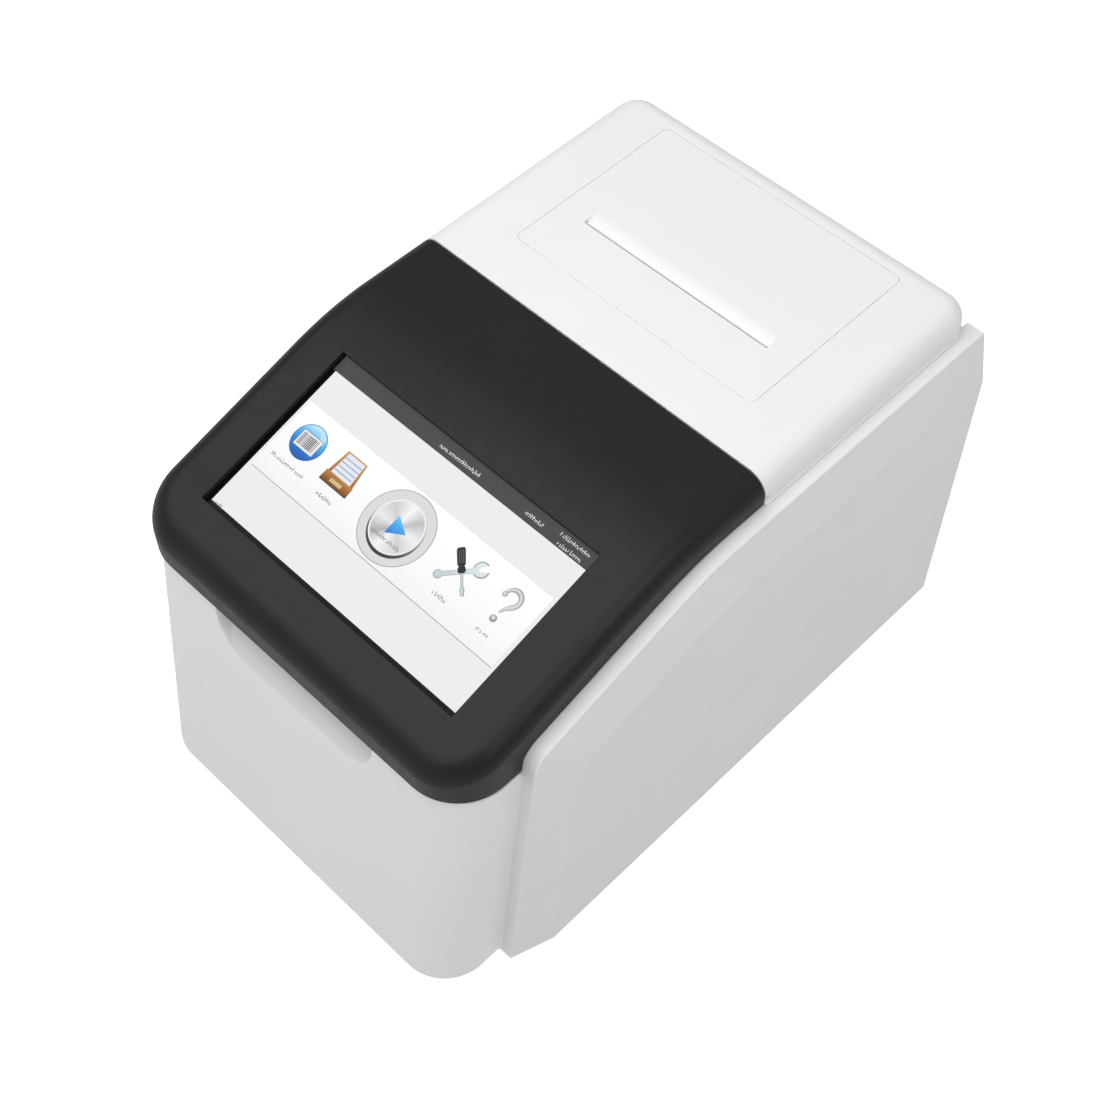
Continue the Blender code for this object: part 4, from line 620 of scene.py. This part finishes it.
def make_printer_door():
    mesh = bmesh.new()
    lip = DOOR_LIP
    under = SHELL_HEIGHT - WALL

    def outline(inset, height):
        return [place(x, front, height) for x, front in rounded_rectangle(
            DOOR_HALF - inset, DOOR_FRONT + inset, DOOR_REAR - inset, max(0.0008, DOOR_CORNER - inset))]

    outer = loops_of(mesh, [outline(DOOR_TAPER, under), outline(0, SHELL_HEIGHT - lip),
                            outline(lip * 0.13, SHELL_HEIGHT - lip * 0.5),
                            outline(lip * 0.5, SHELL_HEIGHT - lip * 0.13), outline(lip, SHELL_HEIGHT)])
    throat = SLOT_FRONT + SLOT_THROAT
    rings = []
    for step in range(11):
        share = step / 10
        rear = throat + (SLOT_REAR - throat) * (1 - math.sin(share * math.pi / 2) ** 0.9)
        depth = WALL * share ** 1.2
        soft = SLOT_SOFT * max(0.0, 1 - step / 2)
        rings.append([place(x, front, SHELL_HEIGHT - depth) for x, front in rounded_rectangle(
            SLOT_HALF + soft, SLOT_FRONT - soft, rear + soft, SLOT_CORNER, 3)])
    slot = loops_of(mesh, rings)
    fill_between(mesh, outer[-1], slot[0])
    fill_between(mesh, outer[0], slot[-1])
    show("printer_door_skin", mesh, WHITE, "printer_door", ["printer_door"])
    axis = place(0, DOOR_FRONT - DOOR_SETBACK, under - SIT - DOOR_KNUCKLE)
    top = under + BASE_Z - axis.z - 0.00005
    near, far, end = -DOOR_REACH, -DOOR_REACH - DOOR_BAR, -DOOR_REACH - DOOR_BAR - DOOR_PAD
    shape = arc((0, 0), DOOR_KNUCKLE, 0, 180, 16)
    shape += [(-DOOR_KNUCKLE, -DOOR_DIP), (near, -DOOR_DIP), (near, top), (end, top), (end, top - DOOR_BAR),
              (far, top - DOOR_BAR), (far, -DOOR_DIP - DOOR_BAR), (DOOR_KNUCKLE, -DOOR_DIP - DOOR_BAR)]
    bore = arc((0, 0), DOOR_BORE, 0, 337.5, 15)
    for side, label in ((-1, "left"), (1, "right")):
        middle = side * DOOR_ARM_X
        arm = plate(shape, [bore], middle - DOOR_ARM_HALF, middle + DOOR_ARM_HALF,
                    lambda back, up, x: Vector((x, axis.y - back, axis.z + up)))
        round_edges(arm, lambda e: len(e.link_faces) == 2 and e.calc_face_angle(0) > 1.2
                    and min((v.co - axis).yz.length for v in e.verts) > DOOR_BORE + 0.0005, 0.0003, 2)
        show(f"printer_door_arm_{label}", arm, WHITE, "printer_door")


# ---------------------------------------------------------------- side panels
def side_outline(top_inset, front_inset, rear_inset, bottom_inset=0.0):
    """(front, height) outline of a side panel, pulled in from its ledge, front and rear edges."""
    front_line = SIDE_START + front_inset * math.sqrt(1 + SIDE_LEAN ** 2)
    rear = SIDE_REAR - rear_inset
    drop = SIDE_SHOULDER / math.cos(SCREEN_SLOPE)
    run = SIDE_SHOULDER * math.sqrt(1 + SIDE_LEAN ** 2)
    level = LEDGE_HEIGHT - top_inset
    slope_level = level - RISE * LEDGE_START - drop
    middle_height = (slope_level + RISE * (front_line + run)) / (1 - RISE * SIDE_LEAN)
    middle = (front_line + SIDE_LEAN * middle_height + run, middle_height)
    lean = math.degrees(math.atan(SIDE_LEAN))
    foot = (front_line + SIDE_LEAN * bottom_inset, bottom_inset)
    bow = arc(middle, SIDE_SHOULDER, 180 - lean, 90 + math.degrees(SCREEN_SLOPE), 20)
    outline = [(foot[0] + (bow[0][0] - foot[0]) * share, foot[1] + (bow[0][1] - foot[1]) * share)
               for share in spread(0, 0.95, 6)]
    outline += bow
    for front in spread(LEDGE_START - SLOPE_BLEND, LEDGE_START + SLOPE_BLEND, 16):
        outline.append((front, bent(front, level, LEDGE_START)))
    corner = SIDE_TOP_CORNER
    outline += [(rear - corner, level), (rear - corner * 0.3, level - corner * 0.3), (rear, level - corner),
                (rear, bottom_inset)]
    return outline


def make_side_panel(side, label):
    inner, outer, face = PANEL_INNER_X, HALF_CORE + LEDGE_WIDTH, FACE_X
    upper = side_outline(0, 0, 0)
    main = side_outline(FACET_TOP, FACET_FRONT, FACET_REAR)
    flat = side_outline(FACET_TOP + FACET_CRISP, FACET_FRONT + FACET_CRISP, FACET_REAR + FACET_CRISP)
    mesh = bmesh.new()
    rings = []

    def ring(points):
        rings.append([place(side * x, front, height) for x, front, height in points])

    def blend(first, second, share):
        return [a + (b - a) * share for a, b in zip(first, second)]

    def soft_corner(starts, corners, ends):
        """Rings round a softened corner, along a parabola at each point of the outline."""
        for share in spread(0, 1, 5):
            ring([[(1 - share) ** 2 * s + 2 * share * (1 - share) * c + share ** 2 * e
                   for s, c, e in zip(*points)] for points in zip(starts, corners, ends)])

    ring([(inner, *point) for point in upper])
    ledge = [(outer, *point) for point in upper]
    border = [(face, *point) for point in main]
    soft_corner([(outer - SIDE_SOFT, *point) for point in upper], ledge,
                [blend(a, b, FACET_FIRST) for a, b in zip(ledge, border)])
    soft_corner([blend(a, b, FACET_LAST) for a, b in zip(ledge, border)], border,
                [(face, *point) for point in flat])
    loops = loops_of(mesh, rings)
    mesh.faces.new(loops[-1])
    wall = PANEL_WALL
    hollow = [[place(side * x, front, height) for front, height in outline] for x, outline in (
        (inner, side_outline(wall, wall, wall, wall)),
        (outer - wall, side_outline(wall, wall, wall, wall)),
        (face - wall, side_outline(FACET_TOP + 0.001, FACET_FRONT + 0.001, FACET_REAR + 0.001, wall)))]
    inside = loops_of(mesh, hollow)
    mesh.faces.new(inside[-1])
    bridge(mesh, loops[0], inside[0])
    show(f"side_panel_{label}_skin", mesh, SIDE, "base", [f"side_panel_{label}"])


# ---------------------------------------------------------------- front panel
def scoop_depth(x, height):
    """How far the finger scoop is sunk: flush at its lower edge, deepest under the lid."""
    up = height - SCOOP_BOTTOM
    if up <= 0:
        return 0.0
    below = max(0.0, SCOOP_CORNER - up)
    half = SCOOP_HALF - SCOOP_CORNER + math.sqrt(SCOOP_CORNER ** 2 - below ** 2)
    side = half - abs(x)
    if side <= 0:
        return 0.0
    back = SCOOP_TILT * up + SCOOP_CURVE * up ** 2
    wall = SCOOP_SIDE * side
    mix = max(0.0, min(1.0, 0.5 + 0.5 * (wall - back) / SCOOP_BLEND))
    return max(0.0, wall + (back - wall) * mix - SCOOP_BLEND * mix * (1 - mix))


def front_columns():
    """Kinds and places of the vertex columns round the right half of the front panel, from its end."""
    columns = []
    for back in (0, 0.0002, 0.0005, 0.0009, JOINT_FILLET):
        columns.append(("fillet", back))
    for share in spread(0, 1, 5)[1:]:
        columns.append(("side", share))
    right = [("arc", angle) for angle in spread(0, 90, 20)]
    xs = spread(PANEL_HALF - PANEL_CORNER - 0.002, SCOOP_HALF + 0.002, 6)
    xs += spread(SCOOP_HALF + 0.0008, 0, 64)
    return columns + right + [("face", x) for x in xs]


def front_point(column, height, inset):
    kind, value = column
    lean = FRONT_LEAN * height
    half = PANEL_HALF - inset
    end, start = side_front(height) - JOINT_GAP, lean + PANEL_CORNER
    if kind == "fillet":
        rise = JOINT_FILLET - math.sqrt(JOINT_FILLET ** 2 - (JOINT_FILLET - value) ** 2)
        return half + rise, end - value
    if kind == "side":
        return half, end + (start - end) * value * 0.98
    radius = PANEL_CORNER - inset
    if kind == "arc":
        angle = math.radians(-value)
        return (half - radius + radius * math.cos(angle), lean + inset + radius + radius * math.sin(angle))
    return value, lean + inset + scoop_depth(value, height)


def make_front_panel():
    columns = front_columns()
    heights = spread(0, SCOOP_BOTTOM - 0.004, 10)
    heights += spread(SCOOP_BOTTOM - 0.002, PANEL_TOP - PANEL_SOFT, 44)
    rows = [(PANEL_SOFT, 0.0), (PANEL_SOFT_MIDDLE, 0.0003)]
    rows += [(0.0, max(PANEL_SOFT, height)) for height in heights]
    rows += [(PANEL_SOFT_MIDDLE, PANEL_TOP - 0.0003), (PANEL_SOFT, PANEL_TOP)]
    mesh = bmesh.new()

    def u_ring(inset, height):
        points = [front_point(column, height, inset) for column in columns]
        ring = [place(x, front, height) for x, front in points]
        return ring + [place(-x, front, height) for x, front in reversed(points[:-1])]

    outer = [[mesh.verts.new(point) for point in u_ring(inset, height)] for inset, height in rows]
    inner = [[mesh.verts.new(point) for point in u_ring(PANEL_WALL, height)]
             for height in [0.0] + heights[1:] + [PANEL_TOP]]
    for sheet in (outer, inner):
        for lower, upper in zip(sheet, sheet[1:]):
            for i in range(len(lower) - 1):
                mesh.faces.new((lower[i], lower[i + 1], upper[i + 1], upper[i]))
    for lower, upper in ((outer[0], inner[0]), (outer[-1], inner[-1])):
        for i in range(len(lower) - 1):
            mesh.faces.new((lower[i], lower[i + 1], upper[i + 1], upper[i]))
    for end in (0, -1):
        ring = [row[end] for row in outer] + [row[end] for row in reversed(inner)]
        mesh.faces.new(ring)
    show("front_panel_skin", mesh, FRONT_WHITE_PAINTED_SHADE, "base", ["front_panel"])
    shelf_rear = FRONT_LEAN * PANEL_TOP + SCOOP_DEPTH + 2 * PANEL_WALL
    points = [front_point(column, PANEL_TOP - 0.0015, PANEL_WALL + 0.0001) for column in columns]
    right = [point for point in points if point[1] < shelf_rear - 0.001]
    right = [(right[0][0], shelf_rear)] + right
    outline = right + [(-x, front) for x, front in reversed(right[:-1])]
    shelf = plate(outline, [], PANEL_TOP - PANEL_WALL, PANEL_TOP - 0.0001, place)
    show("front_shelf", shelf, WHITE, "base")


# ---------------------------------------------------------------- rear screws
def socket_screw(mesh, spot, outwards):
    """A pan head with a hexagon socket, standing on spot and pointing outwards."""
    turn = outwards.to_track_quat("Z", "Y").to_matrix().to_4x4()
    turn.translation = spot
    rings = []
    for kind, radius, height in SCREW_PROFILE:
        ring = []
        for step in range(24):
            angle = math.radians(15 * step)
            reach = radius
            if kind == "hexagon":
                reach = radius / math.cos((angle + math.pi / 6) % (math.pi / 3) - math.pi / 6)
            ring.append(turn @ Vector((reach * math.cos(angle), reach * math.sin(angle), height)))
        rings.append(ring)
    loops = loops_of(mesh, rings)
    mesh.faces.new(loops[0])
    mesh.faces.new(loops[-1])


def make_screws():
    mesh = bmesh.new()
    first, last = low("rear_panel"), high("rear_panel")
    for x in (first.x + SCREW_EDGE, last.x - SCREW_EDGE):
        for z in (first.z + SCREW_EDGE, last.z - SCREW_EDGE):
            socket_screw(mesh, Vector((x, last.y, z)), Vector((0, 1, 0)))
    show("rear_screws", mesh, STEEL, "base")


# ---------------------------------------------------------------- display picture
GLASS_THICK = 0.002
SLOPE_TURN = Matrix.Rotation(SCREEN_SLOPE, 4, "X")
SCREEN = (Matrix.Translation((low("touch_glass") + high("touch_glass")) / 2) @ SLOPE_TURN
          @ Matrix.Translation((0, -SCREEN_LENGTH / 2, GLASS_THICK / 2)))
LAYER = 0.00005


def lit(name, color, rough=0.3, stops=None, axis=1, span=(0.0, 1.0), spin=None):
    """A lit picture element; stops give a gradient along an axis of the screen, or round a centre."""
    made, tree, shader = start_material(name)
    shader.inputs["Base Color"].default_value = (0.01, 0.01, 0.01, 1)
    shader.inputs["Roughness"].default_value = rough
    shader.inputs["Emission Strength"].default_value = 1.0
    shader.inputs["Specular IOR Level"].default_value = 0.12
    coords = tree.nodes.new("ShaderNodeTexCoord")
    if spin:
        mapping = tree.nodes.new("ShaderNodeMapping")
        mapping.inputs["Location"].default_value = (-spin[0], -spin[1], 0)
        texture = tree.nodes.new("ShaderNodeTexGradient")
        texture.gradient_type = "RADIAL"
        tree.links.new(coords.outputs["Object"], mapping.inputs["Vector"])
        tree.links.new(mapping.outputs["Vector"], texture.inputs["Vector"])
        factor = texture.outputs["Fac"]
    else:
        split = tree.nodes.new("ShaderNodeSeparateXYZ")
        tree.links.new(coords.outputs["Object"], split.inputs["Vector"])
        factor = remap(tree, split.outputs[axis], 0.0, 1.0, *span)
    if not stops:
        stops = ((0.0, tint(color, 0.985)), (1.0, tint(color, 1.0)))
    tree.links.new(ramp(tree, factor, stops), shader.inputs["Emission Color"])
    return made


def mm(points):
    return [(u / 1000, v / 1000) for u, v in points]


def rect(u0, v0, u1, v1):
    return [(u0, v0), (u1, v0), (u1, v1), (u0, v1)]


def disc(u, v, radius, steps=48):
    return arc((u, v), radius, 0, 360 - 360 / steps, steps - 1)


def turned(points, middle, degrees):
    angle = math.radians(degrees)
    return [(middle[0] + u * math.cos(angle) - v * math.sin(angle),
             middle[1] + u * math.sin(angle) + v * math.cos(angle)) for u, v in points]


def stroke(points, widths):
    """Outline of a brush stroke along points, with a width at each."""
    left, right = [], []
    for i, (u, v) in enumerate(points):
        before, after = points[max(0, i - 1)], points[min(len(points) - 1, i + 1)]
        run = math.hypot(after[0] - before[0], after[1] - before[1])
        normal = (-(after[1] - before[1]) / run, (after[0] - before[0]) / run)
        half = widths[i] / 2
        left.append((u + normal[0] * half, v + normal[1] * half))
        right.append((u - normal[0] * half, v - normal[1] * half))
    return left + right[::-1]


def picture(name, outlines, level, material, holes=(), thick=0.8):
    """One lit element: closed flat plates in the plane of the screen, sizes in millimetres."""
    whole = bmesh.new()
    for outline in outlines:
        one = plate(mm(outline), [mm(hole) for hole in holes], level * LAYER, (level + thick) * LAYER,
                    lambda u, v, n: Vector((u, v, n)))
        data = bpy.data.meshes.new("part")
        one.to_mesh(data)
        one.free()
        whole.from_mesh(data)
        bpy.data.meshes.remove(data)
    show(f"display_{name}", whole, material, "lid", matrix=SCREEN, smooth=0)


def letters(u0, u1, v, height, seed, angle=0):
    """Small marks that read as a line of print at this size, and as nothing closer up."""
    pick = random.Random(seed)
    marks, u = [], u0
    while u < u1 - 0.5:
        wide = pick.uniform(0.55, 0.95)
        tall = height * pick.choice((0.62, 0.62, 1.0))
        if pick.random() < 0.12:
            u += 0.6
            continue
        marks.append(rect(u, v, min(u + wide * 0.35, u1), v + tall))
        bar = v + pick.choice((0.0, 0.36, 0.5)) * height
        marks.append(rect(u + wide * 0.35, bar, u + wide, bar + 0.16 * height))
        u += wide + 0.32
    return marks


def make_display():
    grey = lit("picture_grey", (0.835, 0.835, 0.820))
    white = lit("picture_white", (1, 1, 1), stops=((0.0, (0.88, 0.88, 0.885)), (0.35, (0.93, 0.93, 0.935)),
                                                  (0.8, (0.97, 0.97, 0.97)), (1.0, (1, 1, 1))),
                span=(0.026, 0.065))
    header = lit("picture_header", (0.052, 0.052, 0.053))
    ink = lit("picture_ink", (0.10, 0.10, 0.105))
    chalk = lit("picture_chalk", (0.85, 0.85, 0.85))
    left, right, bottom, top = -77.6, 79.2, 2.5, 92.0
    picture("ground", [rect(left, bottom, right, 82.5)], 1, grey)
    picture("header", [rect(left - 1.6, 82.5, right + 1.0, top)], 1, header)
    picture("band", [rect(-76.2, 26.3, 76.6, 64.7)], 2, white)
    edge = lit("picture_edge", (0.80, 0.80, 0.785))
    picture("band_edge", [rect(-76.5, 26.3, -76.2, 64.7), rect(76.6, 26.3, 76.9, 64.7)], 2, edge)
    picture("rule", [rect(-75.2, 25.85, 76.9, 26.15)], 3, lit("picture_rule", (0.28, 0.28, 0.29)))
    picture("header_text", letters(-12.2, 12.8, 84.9, 2.1, 1) + letters(39.6, 50.6, 85.1, 1.9, 2)
            + letters(59.0, 76.4, 87.3, 1.9, 3) + letters(60.6, 74.6, 83.4, 1.9, 4), 3, chalk)
    picture("labels", letters(-72.0, -51.2, 35.0, 2.0, 5) + letters(-41.2, -31.8, 34.2, 2.0, 6)
            + letters(33.4, 42.0, 33.8, 2.0, 7) + letters(59.6, 66.4, 34.0, 2.0, 8)
            + letters(-76.2, -70.0, 2.0, 1.7, 9), 3, ink)

    # sphere with a barcode card
    centre = (-61.8, 49.6)
    blue = lit("picture_blue", (0, 0, 0), stops=((0.0, (0.005, 0.09, 0.42)), (0.35, (0.01, 0.20, 0.62)),
                                                (0.7, (0.09, 0.48, 0.86)), (1.0, (0.55, 0.83, 0.97))),
               span=(0.0415, 0.0580))
    picture("sphere_rim", [disc(*centre, 9.1)], 3, lit("picture_blue_rim", (0.02, 0.17, 0.45)))
    picture("sphere", [disc(*centre, 8.7)], 4, blue)
    glow = lit("picture_glow", (0.48, 0.78, 0.94))
    swell = [0.2, 1, 1.7, 2.2, 2.5, 2.6, 2.5, 2.2, 1.7, 1, 0.2]
    picture("sphere_glow", [stroke(arc(centre, 6.9, 20, 75, 10), swell)], 5, glow)
    picture("card_edge", [rect(-67.9, 45.0, -55.5, 53.8)], 6, lit("picture_card_edge", (0.12, 0.2, 0.3)))
    picture("card", [rect(-67.6, 45.3, -55.8, 53.5)], 7, chalk)
    pick = random.Random(12)
    bars, u = [], -66.7
    while u < -57.2:
        wide = pick.choice((0.25, 0.4, 0.6))
        bars.append(rect(u, 46.3, u + wide, 52.7))
        u += wide + pick.choice((0.3, 0.45))
    picture("bars", bars, 8, ink)

    # card file
    wood = lit("picture_wood", (0, 0, 0), stops=((0.0, (0.20, 0.075, 0.012)), (0.45, (0.42, 0.17, 0.03)),
                                                (1.0, (0.60, 0.32, 0.09))), span=(0.040, 0.0590))
    picture("file_case", [[(-44.9, 46.0), (-43.6, 58.3), (-31.4, 58.3), (-29.2, 46.0)]], 3, wood)
    picture("file_sheets", [[(-43.2, 46.2), (-42.4, 57.6), (-32.2, 57.6), (-31.0, 46.2)]], 4,
            lit("picture_sheet", (0.78, 0.80, 0.84)))
    picture("file_rules", [rect(-42.6, v, -31.8, v + 0.5) for v in (48.0, 50.3, 52.6, 54.9)], 5,
            lit("picture_rules", (0.25, 0.38, 0.68)))
    picture("file_drawer", [[(-45.6, 40.6), (-45.4, 46.2), (-28.7, 46.2), (-28.5, 40.6)]], 6,
            lit("picture_drawer", (0, 0, 0), stops=((0.0, (0.10, 0.035, 0.006)), (0.5, (0.33, 0.12, 0.02)),
                                                   (1.0, (0.50, 0.22, 0.05))), span=(0.0406, 0.0462)))
    picture("file_label", [rect(-40.6, 42.4, -33.6, 44.2)], 7, lit("picture_brass", (0.66, 0.50, 0.24)))

    # large round button
    middle = (0.1, 45.5)
    ring_tone = lit("picture_ring", (0.70, 0.70, 0.71))
    picture("button_line", [disc(*middle, 18.2, 96)], 3, lit("picture_line", (0.36, 0.36, 0.37)))
    picture("button_ring", [disc(*middle, 17.8, 96)], 4, ring_tone)
    picture("button_shade", [disc(middle[0] + 0.3, middle[1] - 0.6, 13.7, 96)], 5,
            lit("picture_shade", (0, 0, 0), stops=((0.0, (0.02, 0.02, 0.02)), (0.3, (0.10, 0.10, 0.10)),
                                                  (0.6, (0.42, 0.42, 0.43)), (1.0, (0.55, 0.55, 0.56))),
                span=(0.0315, 0.0590)))
    picture("button_rim", [disc(middle[0], middle[1] + 0.3, 13.1, 96)], 6, chalk)
    metal = lit("picture_metal", (0, 0, 0), stops=(
        (0.0, (0.80, 0.80, 0.81)), (0.12, (0.42, 0.42, 0.43)), (0.22, (0.88, 0.88, 0.88)),
        (0.38, (0.62, 0.62, 0.63)), (0.50, (0.86, 0.86, 0.87)), (0.63, (0.50, 0.50, 0.51)),
        (0.75, (0.90, 0.90, 0.90)), (0.88, (0.60, 0.60, 0.61)), (1.0, (0.80, 0.80, 0.81))),
        spin=(middle[0] / 1000, (middle[1] + 0.3) / 1000))
    picture("button_metal", [disc(middle[0], middle[1] + 0.3, 12.3, 96)], 7, metal)
    arrow = lit("picture_arrow", (0, 0, 0), stops=((0.0, (0.02, 0.17, 0.62)), (0.6, (0.05, 0.40, 0.85)),
                                                  (1.0, (0.20, 0.62, 0.95))), span=(0.0408, 0.0505))
    picture("arrow", [[(-2.9, 40.6), (5.9, 45.5), (-2.9, 50.6)]], 8, arrow)
    picture("button_text", letters(-8.0, 8.8, 37.6, 1.9, 10), 8, ink)

    # crossed tools
    cross = (37.2, 48.9)
    steel = lit("picture_steel", (0, 0, 0), stops=((0.0, (0.50, 0.58, 0.62)), (1.0, (0.74, 0.80, 0.83))),
                span=(0.040, 0.0575))
    line = lit("picture_steel_line", (0.30, 0.36, 0.40))
    shank = [(-11.0, -1.1), (4.0, -1.0), (6.5, -1.9), (6.5, 1.9), (4.0, 1.0), (-11.0, 1.1)]
    jaw = arc((8.6, 0), 3.5, 205, 335, 14) + [(9.8, -1.2), (8.0, -1.0), (7.4, 0), (8.0, 1.0), (9.8, 1.2)]
    jaw += arc((8.6, 0), 3.5, 25, 155, 14)
    for grow, level, tone, tag in ((1.12, 3, line, "line"), (0.94, 5, steel, "face")):
        bodies = [[(u, v * grow) for u, v in shank], [(8.6 + (u - 8.6) * grow, v * grow) for u, v in jaw]]
        picture(f"wrench_{tag}", [turned(body, cross, 43) for body in bodies[:1]], level, tone)
        picture(f"wrench_jaw_{tag}", [turned(bodies[1], cross, 43)], level + 0.9, tone)
        picture(f"wrench_eye_{tag}", [turned(disc(-10.6, 0, 1.9 * grow, 24), cross, 43)], level + 0.9, tone,
                holes=[turned(disc(-10.6, 0, 0.75, 16), cross, 43)])
    picture("driver_blade", [turned([(0, -0.75), (6.5, -0.6), (8.3, -1.1), (11.2, -0.75), (11.4, 0.75),
                                     (8.3, 1.1), (6.5, 0.6), (0, 0.75)], cross, -45)], 8, line)
    picture("driver_shine", [turned([(0, -0.42), (6.6, -0.3), (8.4, -0.8), (11.0, -0.5), (11.1, 0.4),
                                     (8.4, 0.7), (6.6, 0.3), (0, 0.38)], cross, -45)], 9, steel)
    grip = lit("picture_grip", (0.012, 0.012, 0.013))
    picture("driver_grip", [turned([(-11.2, -1.5), (-10.2, -2.0), (-3.4, -1.9), (-2.4, -1.3), (-1.6, -1.8),
                                    (0.2, -1.8), (0.8, -1.0), (0.8, 1.0), (0.2, 1.8), (-1.6, 1.8),
                                    (-2.4, 1.3), (-3.4, 1.9), (-10.2, 2.0), (-11.2, 1.5)], cross, -45)],
            10, grip)
    grooves = [turned(rect(-10.0, v, -3.8, v + 0.35), cross, -45) for v in (-1.1, -0.1, 0.8)]
    picture("driver_grooves", grooves, 11, lit("picture_groove", (0.10, 0.10, 0.11)))

    # question mark
    hook = arc((62.9, 53.6), 4.0, 185, -50, 22)
    hook += [(64.3, 49.2), (63.3, 47.9), (62.7, 46.6), (62.6, 45.6)]
    widths = [1.3 + 1.3 * min(1, i / 9) for i in range(23)] + [2.1, 1.7, 1.3, 1.0]
    mark = lit("picture_mark", (0, 0, 0), stops=((0.0, (0.30, 0.30, 0.31)), (0.5, (0.50, 0.50, 0.51)),
                                                (1.0, (0.34, 0.34, 0.35))), span=(0.041, 0.0585))
    shine = lit("picture_shine", (0.68, 0.68, 0.69))
    picture("mark", [stroke(hook, widths)], 3, mark)
    picture("mark_shine", [stroke([(u - 0.15, v + 0.15) for u, v in hook], [w * 0.42 for w in widths])], 4,
            shine)
    picture("mark_end", [disc(58.95, 53.4, 1.35, 24), disc(62.5, 42.3, 1.75, 24)], 5, mark)
    picture("mark_end_shine", [disc(58.8, 53.6, 0.7, 16), disc(62.3, 42.6, 0.9, 16)], 6, shine)


# ---------------------------------------------------------------- stage
AZIMUTH, ELEVATION = math.radians(44.5785), math.radians(54.2314)
CAMERA_DISTANCE, CAMERA_TARGET = 0.909775, Vector((0.003945, 0.000004, 0.095))
SENSOR_WIDTH, FOCAL_LENGTH = 36.0, 60.298
LAMP_TARGET = Vector((0, 0, 0.1))
PALE, MIDDLE_PALE, DIM = (0.82, 0.82, 0.82), (0.78, 0.78, 0.78), (0.26, 0.26, 0.26)


def look_from(obj, target):
    obj.rotation_mode = "QUATERNION"
    obj.rotation_quaternion = (target - obj.location).to_track_quat("-Z", "Y")


def lamp(name, spot, size, power):
    data = bpy.data.lights.new(name, "AREA")
    data.shape = "RECTANGLE"
    data.size, data.size_y = size
    data.energy = power
    made = bpy.data.objects.new(name, data)
    made.location = spot
    bpy.context.scene.collection.objects.link(made)
    look_from(made, LAMP_TARGET)


def make_stage():
    mesh = bmesh.new()
    bmesh.ops.create_grid(mesh, x_segments=8, y_segments=8, size=6.0)
    data = bpy.data.meshes.new("floor")
    mesh.to_mesh(data)
    mesh.free()
    floor = bpy.data.objects.new("floor", data)
    floor.location.z = FLOOR_Z
    bpy.context.scene.collection.objects.link(floor)
    made, tree, shader = start_material("floor")
    tree.links.new(ramp(tree, noise(tree, 0.4), ((0.3, (0.86, 0.86, 0.86)), (0.7, (0.88, 0.88, 0.88)))),
                   shader.inputs["Base Color"])
    shader.inputs["Roughness"].default_value = 0.9
    shader.inputs["Emission Color"].default_value = (1, 1, 1, 1)
    shader.inputs["Emission Strength"].default_value = 0.55
    data.materials.append(made)
    floor.visible_diffuse = False
    floor.visible_glossy = False

    world = bpy.data.worlds.new("studio")
    bpy.context.scene.world = world
    world.use_nodes = True
    tree = world.node_tree
    background = tree.nodes["Background"]
    coords = tree.nodes.new("ShaderNodeTexCoord")
    split = tree.nodes.new("ShaderNodeSeparateXYZ")
    tree.links.new(coords.outputs["Generated"], split.inputs["Vector"])
    height = remap(tree, split.outputs["Z"], 0.0, 1.0, -1.0, 1.0)
    tree.links.new(ramp(tree, height, ((0.0, PALE), (0.47, MIDDLE_PALE), (0.55, DIM), (1.0, DIM))),
                   background.inputs["Color"])
    background.inputs["Strength"].default_value = 1.0

    lamp("key", (-0.25, -0.40, 1.35), (1.5, 1.5), 15.5)
    lamp("side_fill", (1.3, 0.0, 1.5), (1.0, 1.0), 9.0)
    lamp("front_fill", (-0.3, -1.5, 1.3), (1.2, 1.0), 2.5)

    lens = bpy.data.cameras.new("camera")
    lens.sensor_width, lens.lens = SENSOR_WIDTH, FOCAL_LENGTH
    lens.clip_start, lens.clip_end = 0.01, 50.0
    camera = bpy.data.objects.new("camera", lens)
    bpy.context.scene.collection.objects.link(camera)
    back = Vector((math.sin(AZIMUTH) * math.cos(ELEVATION), -math.cos(AZIMUTH) * math.cos(ELEVATION),
                   math.sin(ELEVATION)))
    camera.location = CAMERA_TARGET + back * CAMERA_DISTANCE
    look_from(camera, CAMERA_TARGET)
    bpy.context.scene.camera = camera
    bpy.context.scene.view_settings.view_transform = "Standard"
    bpy.context.scene.view_settings.look = "None"


make_lid_shell()
make_rear_cover()
make_printer_door()
make_side_panel(-1, "left")
make_side_panel(1, "right")
make_front_panel()
make_screws()
make_display()
make_stage()
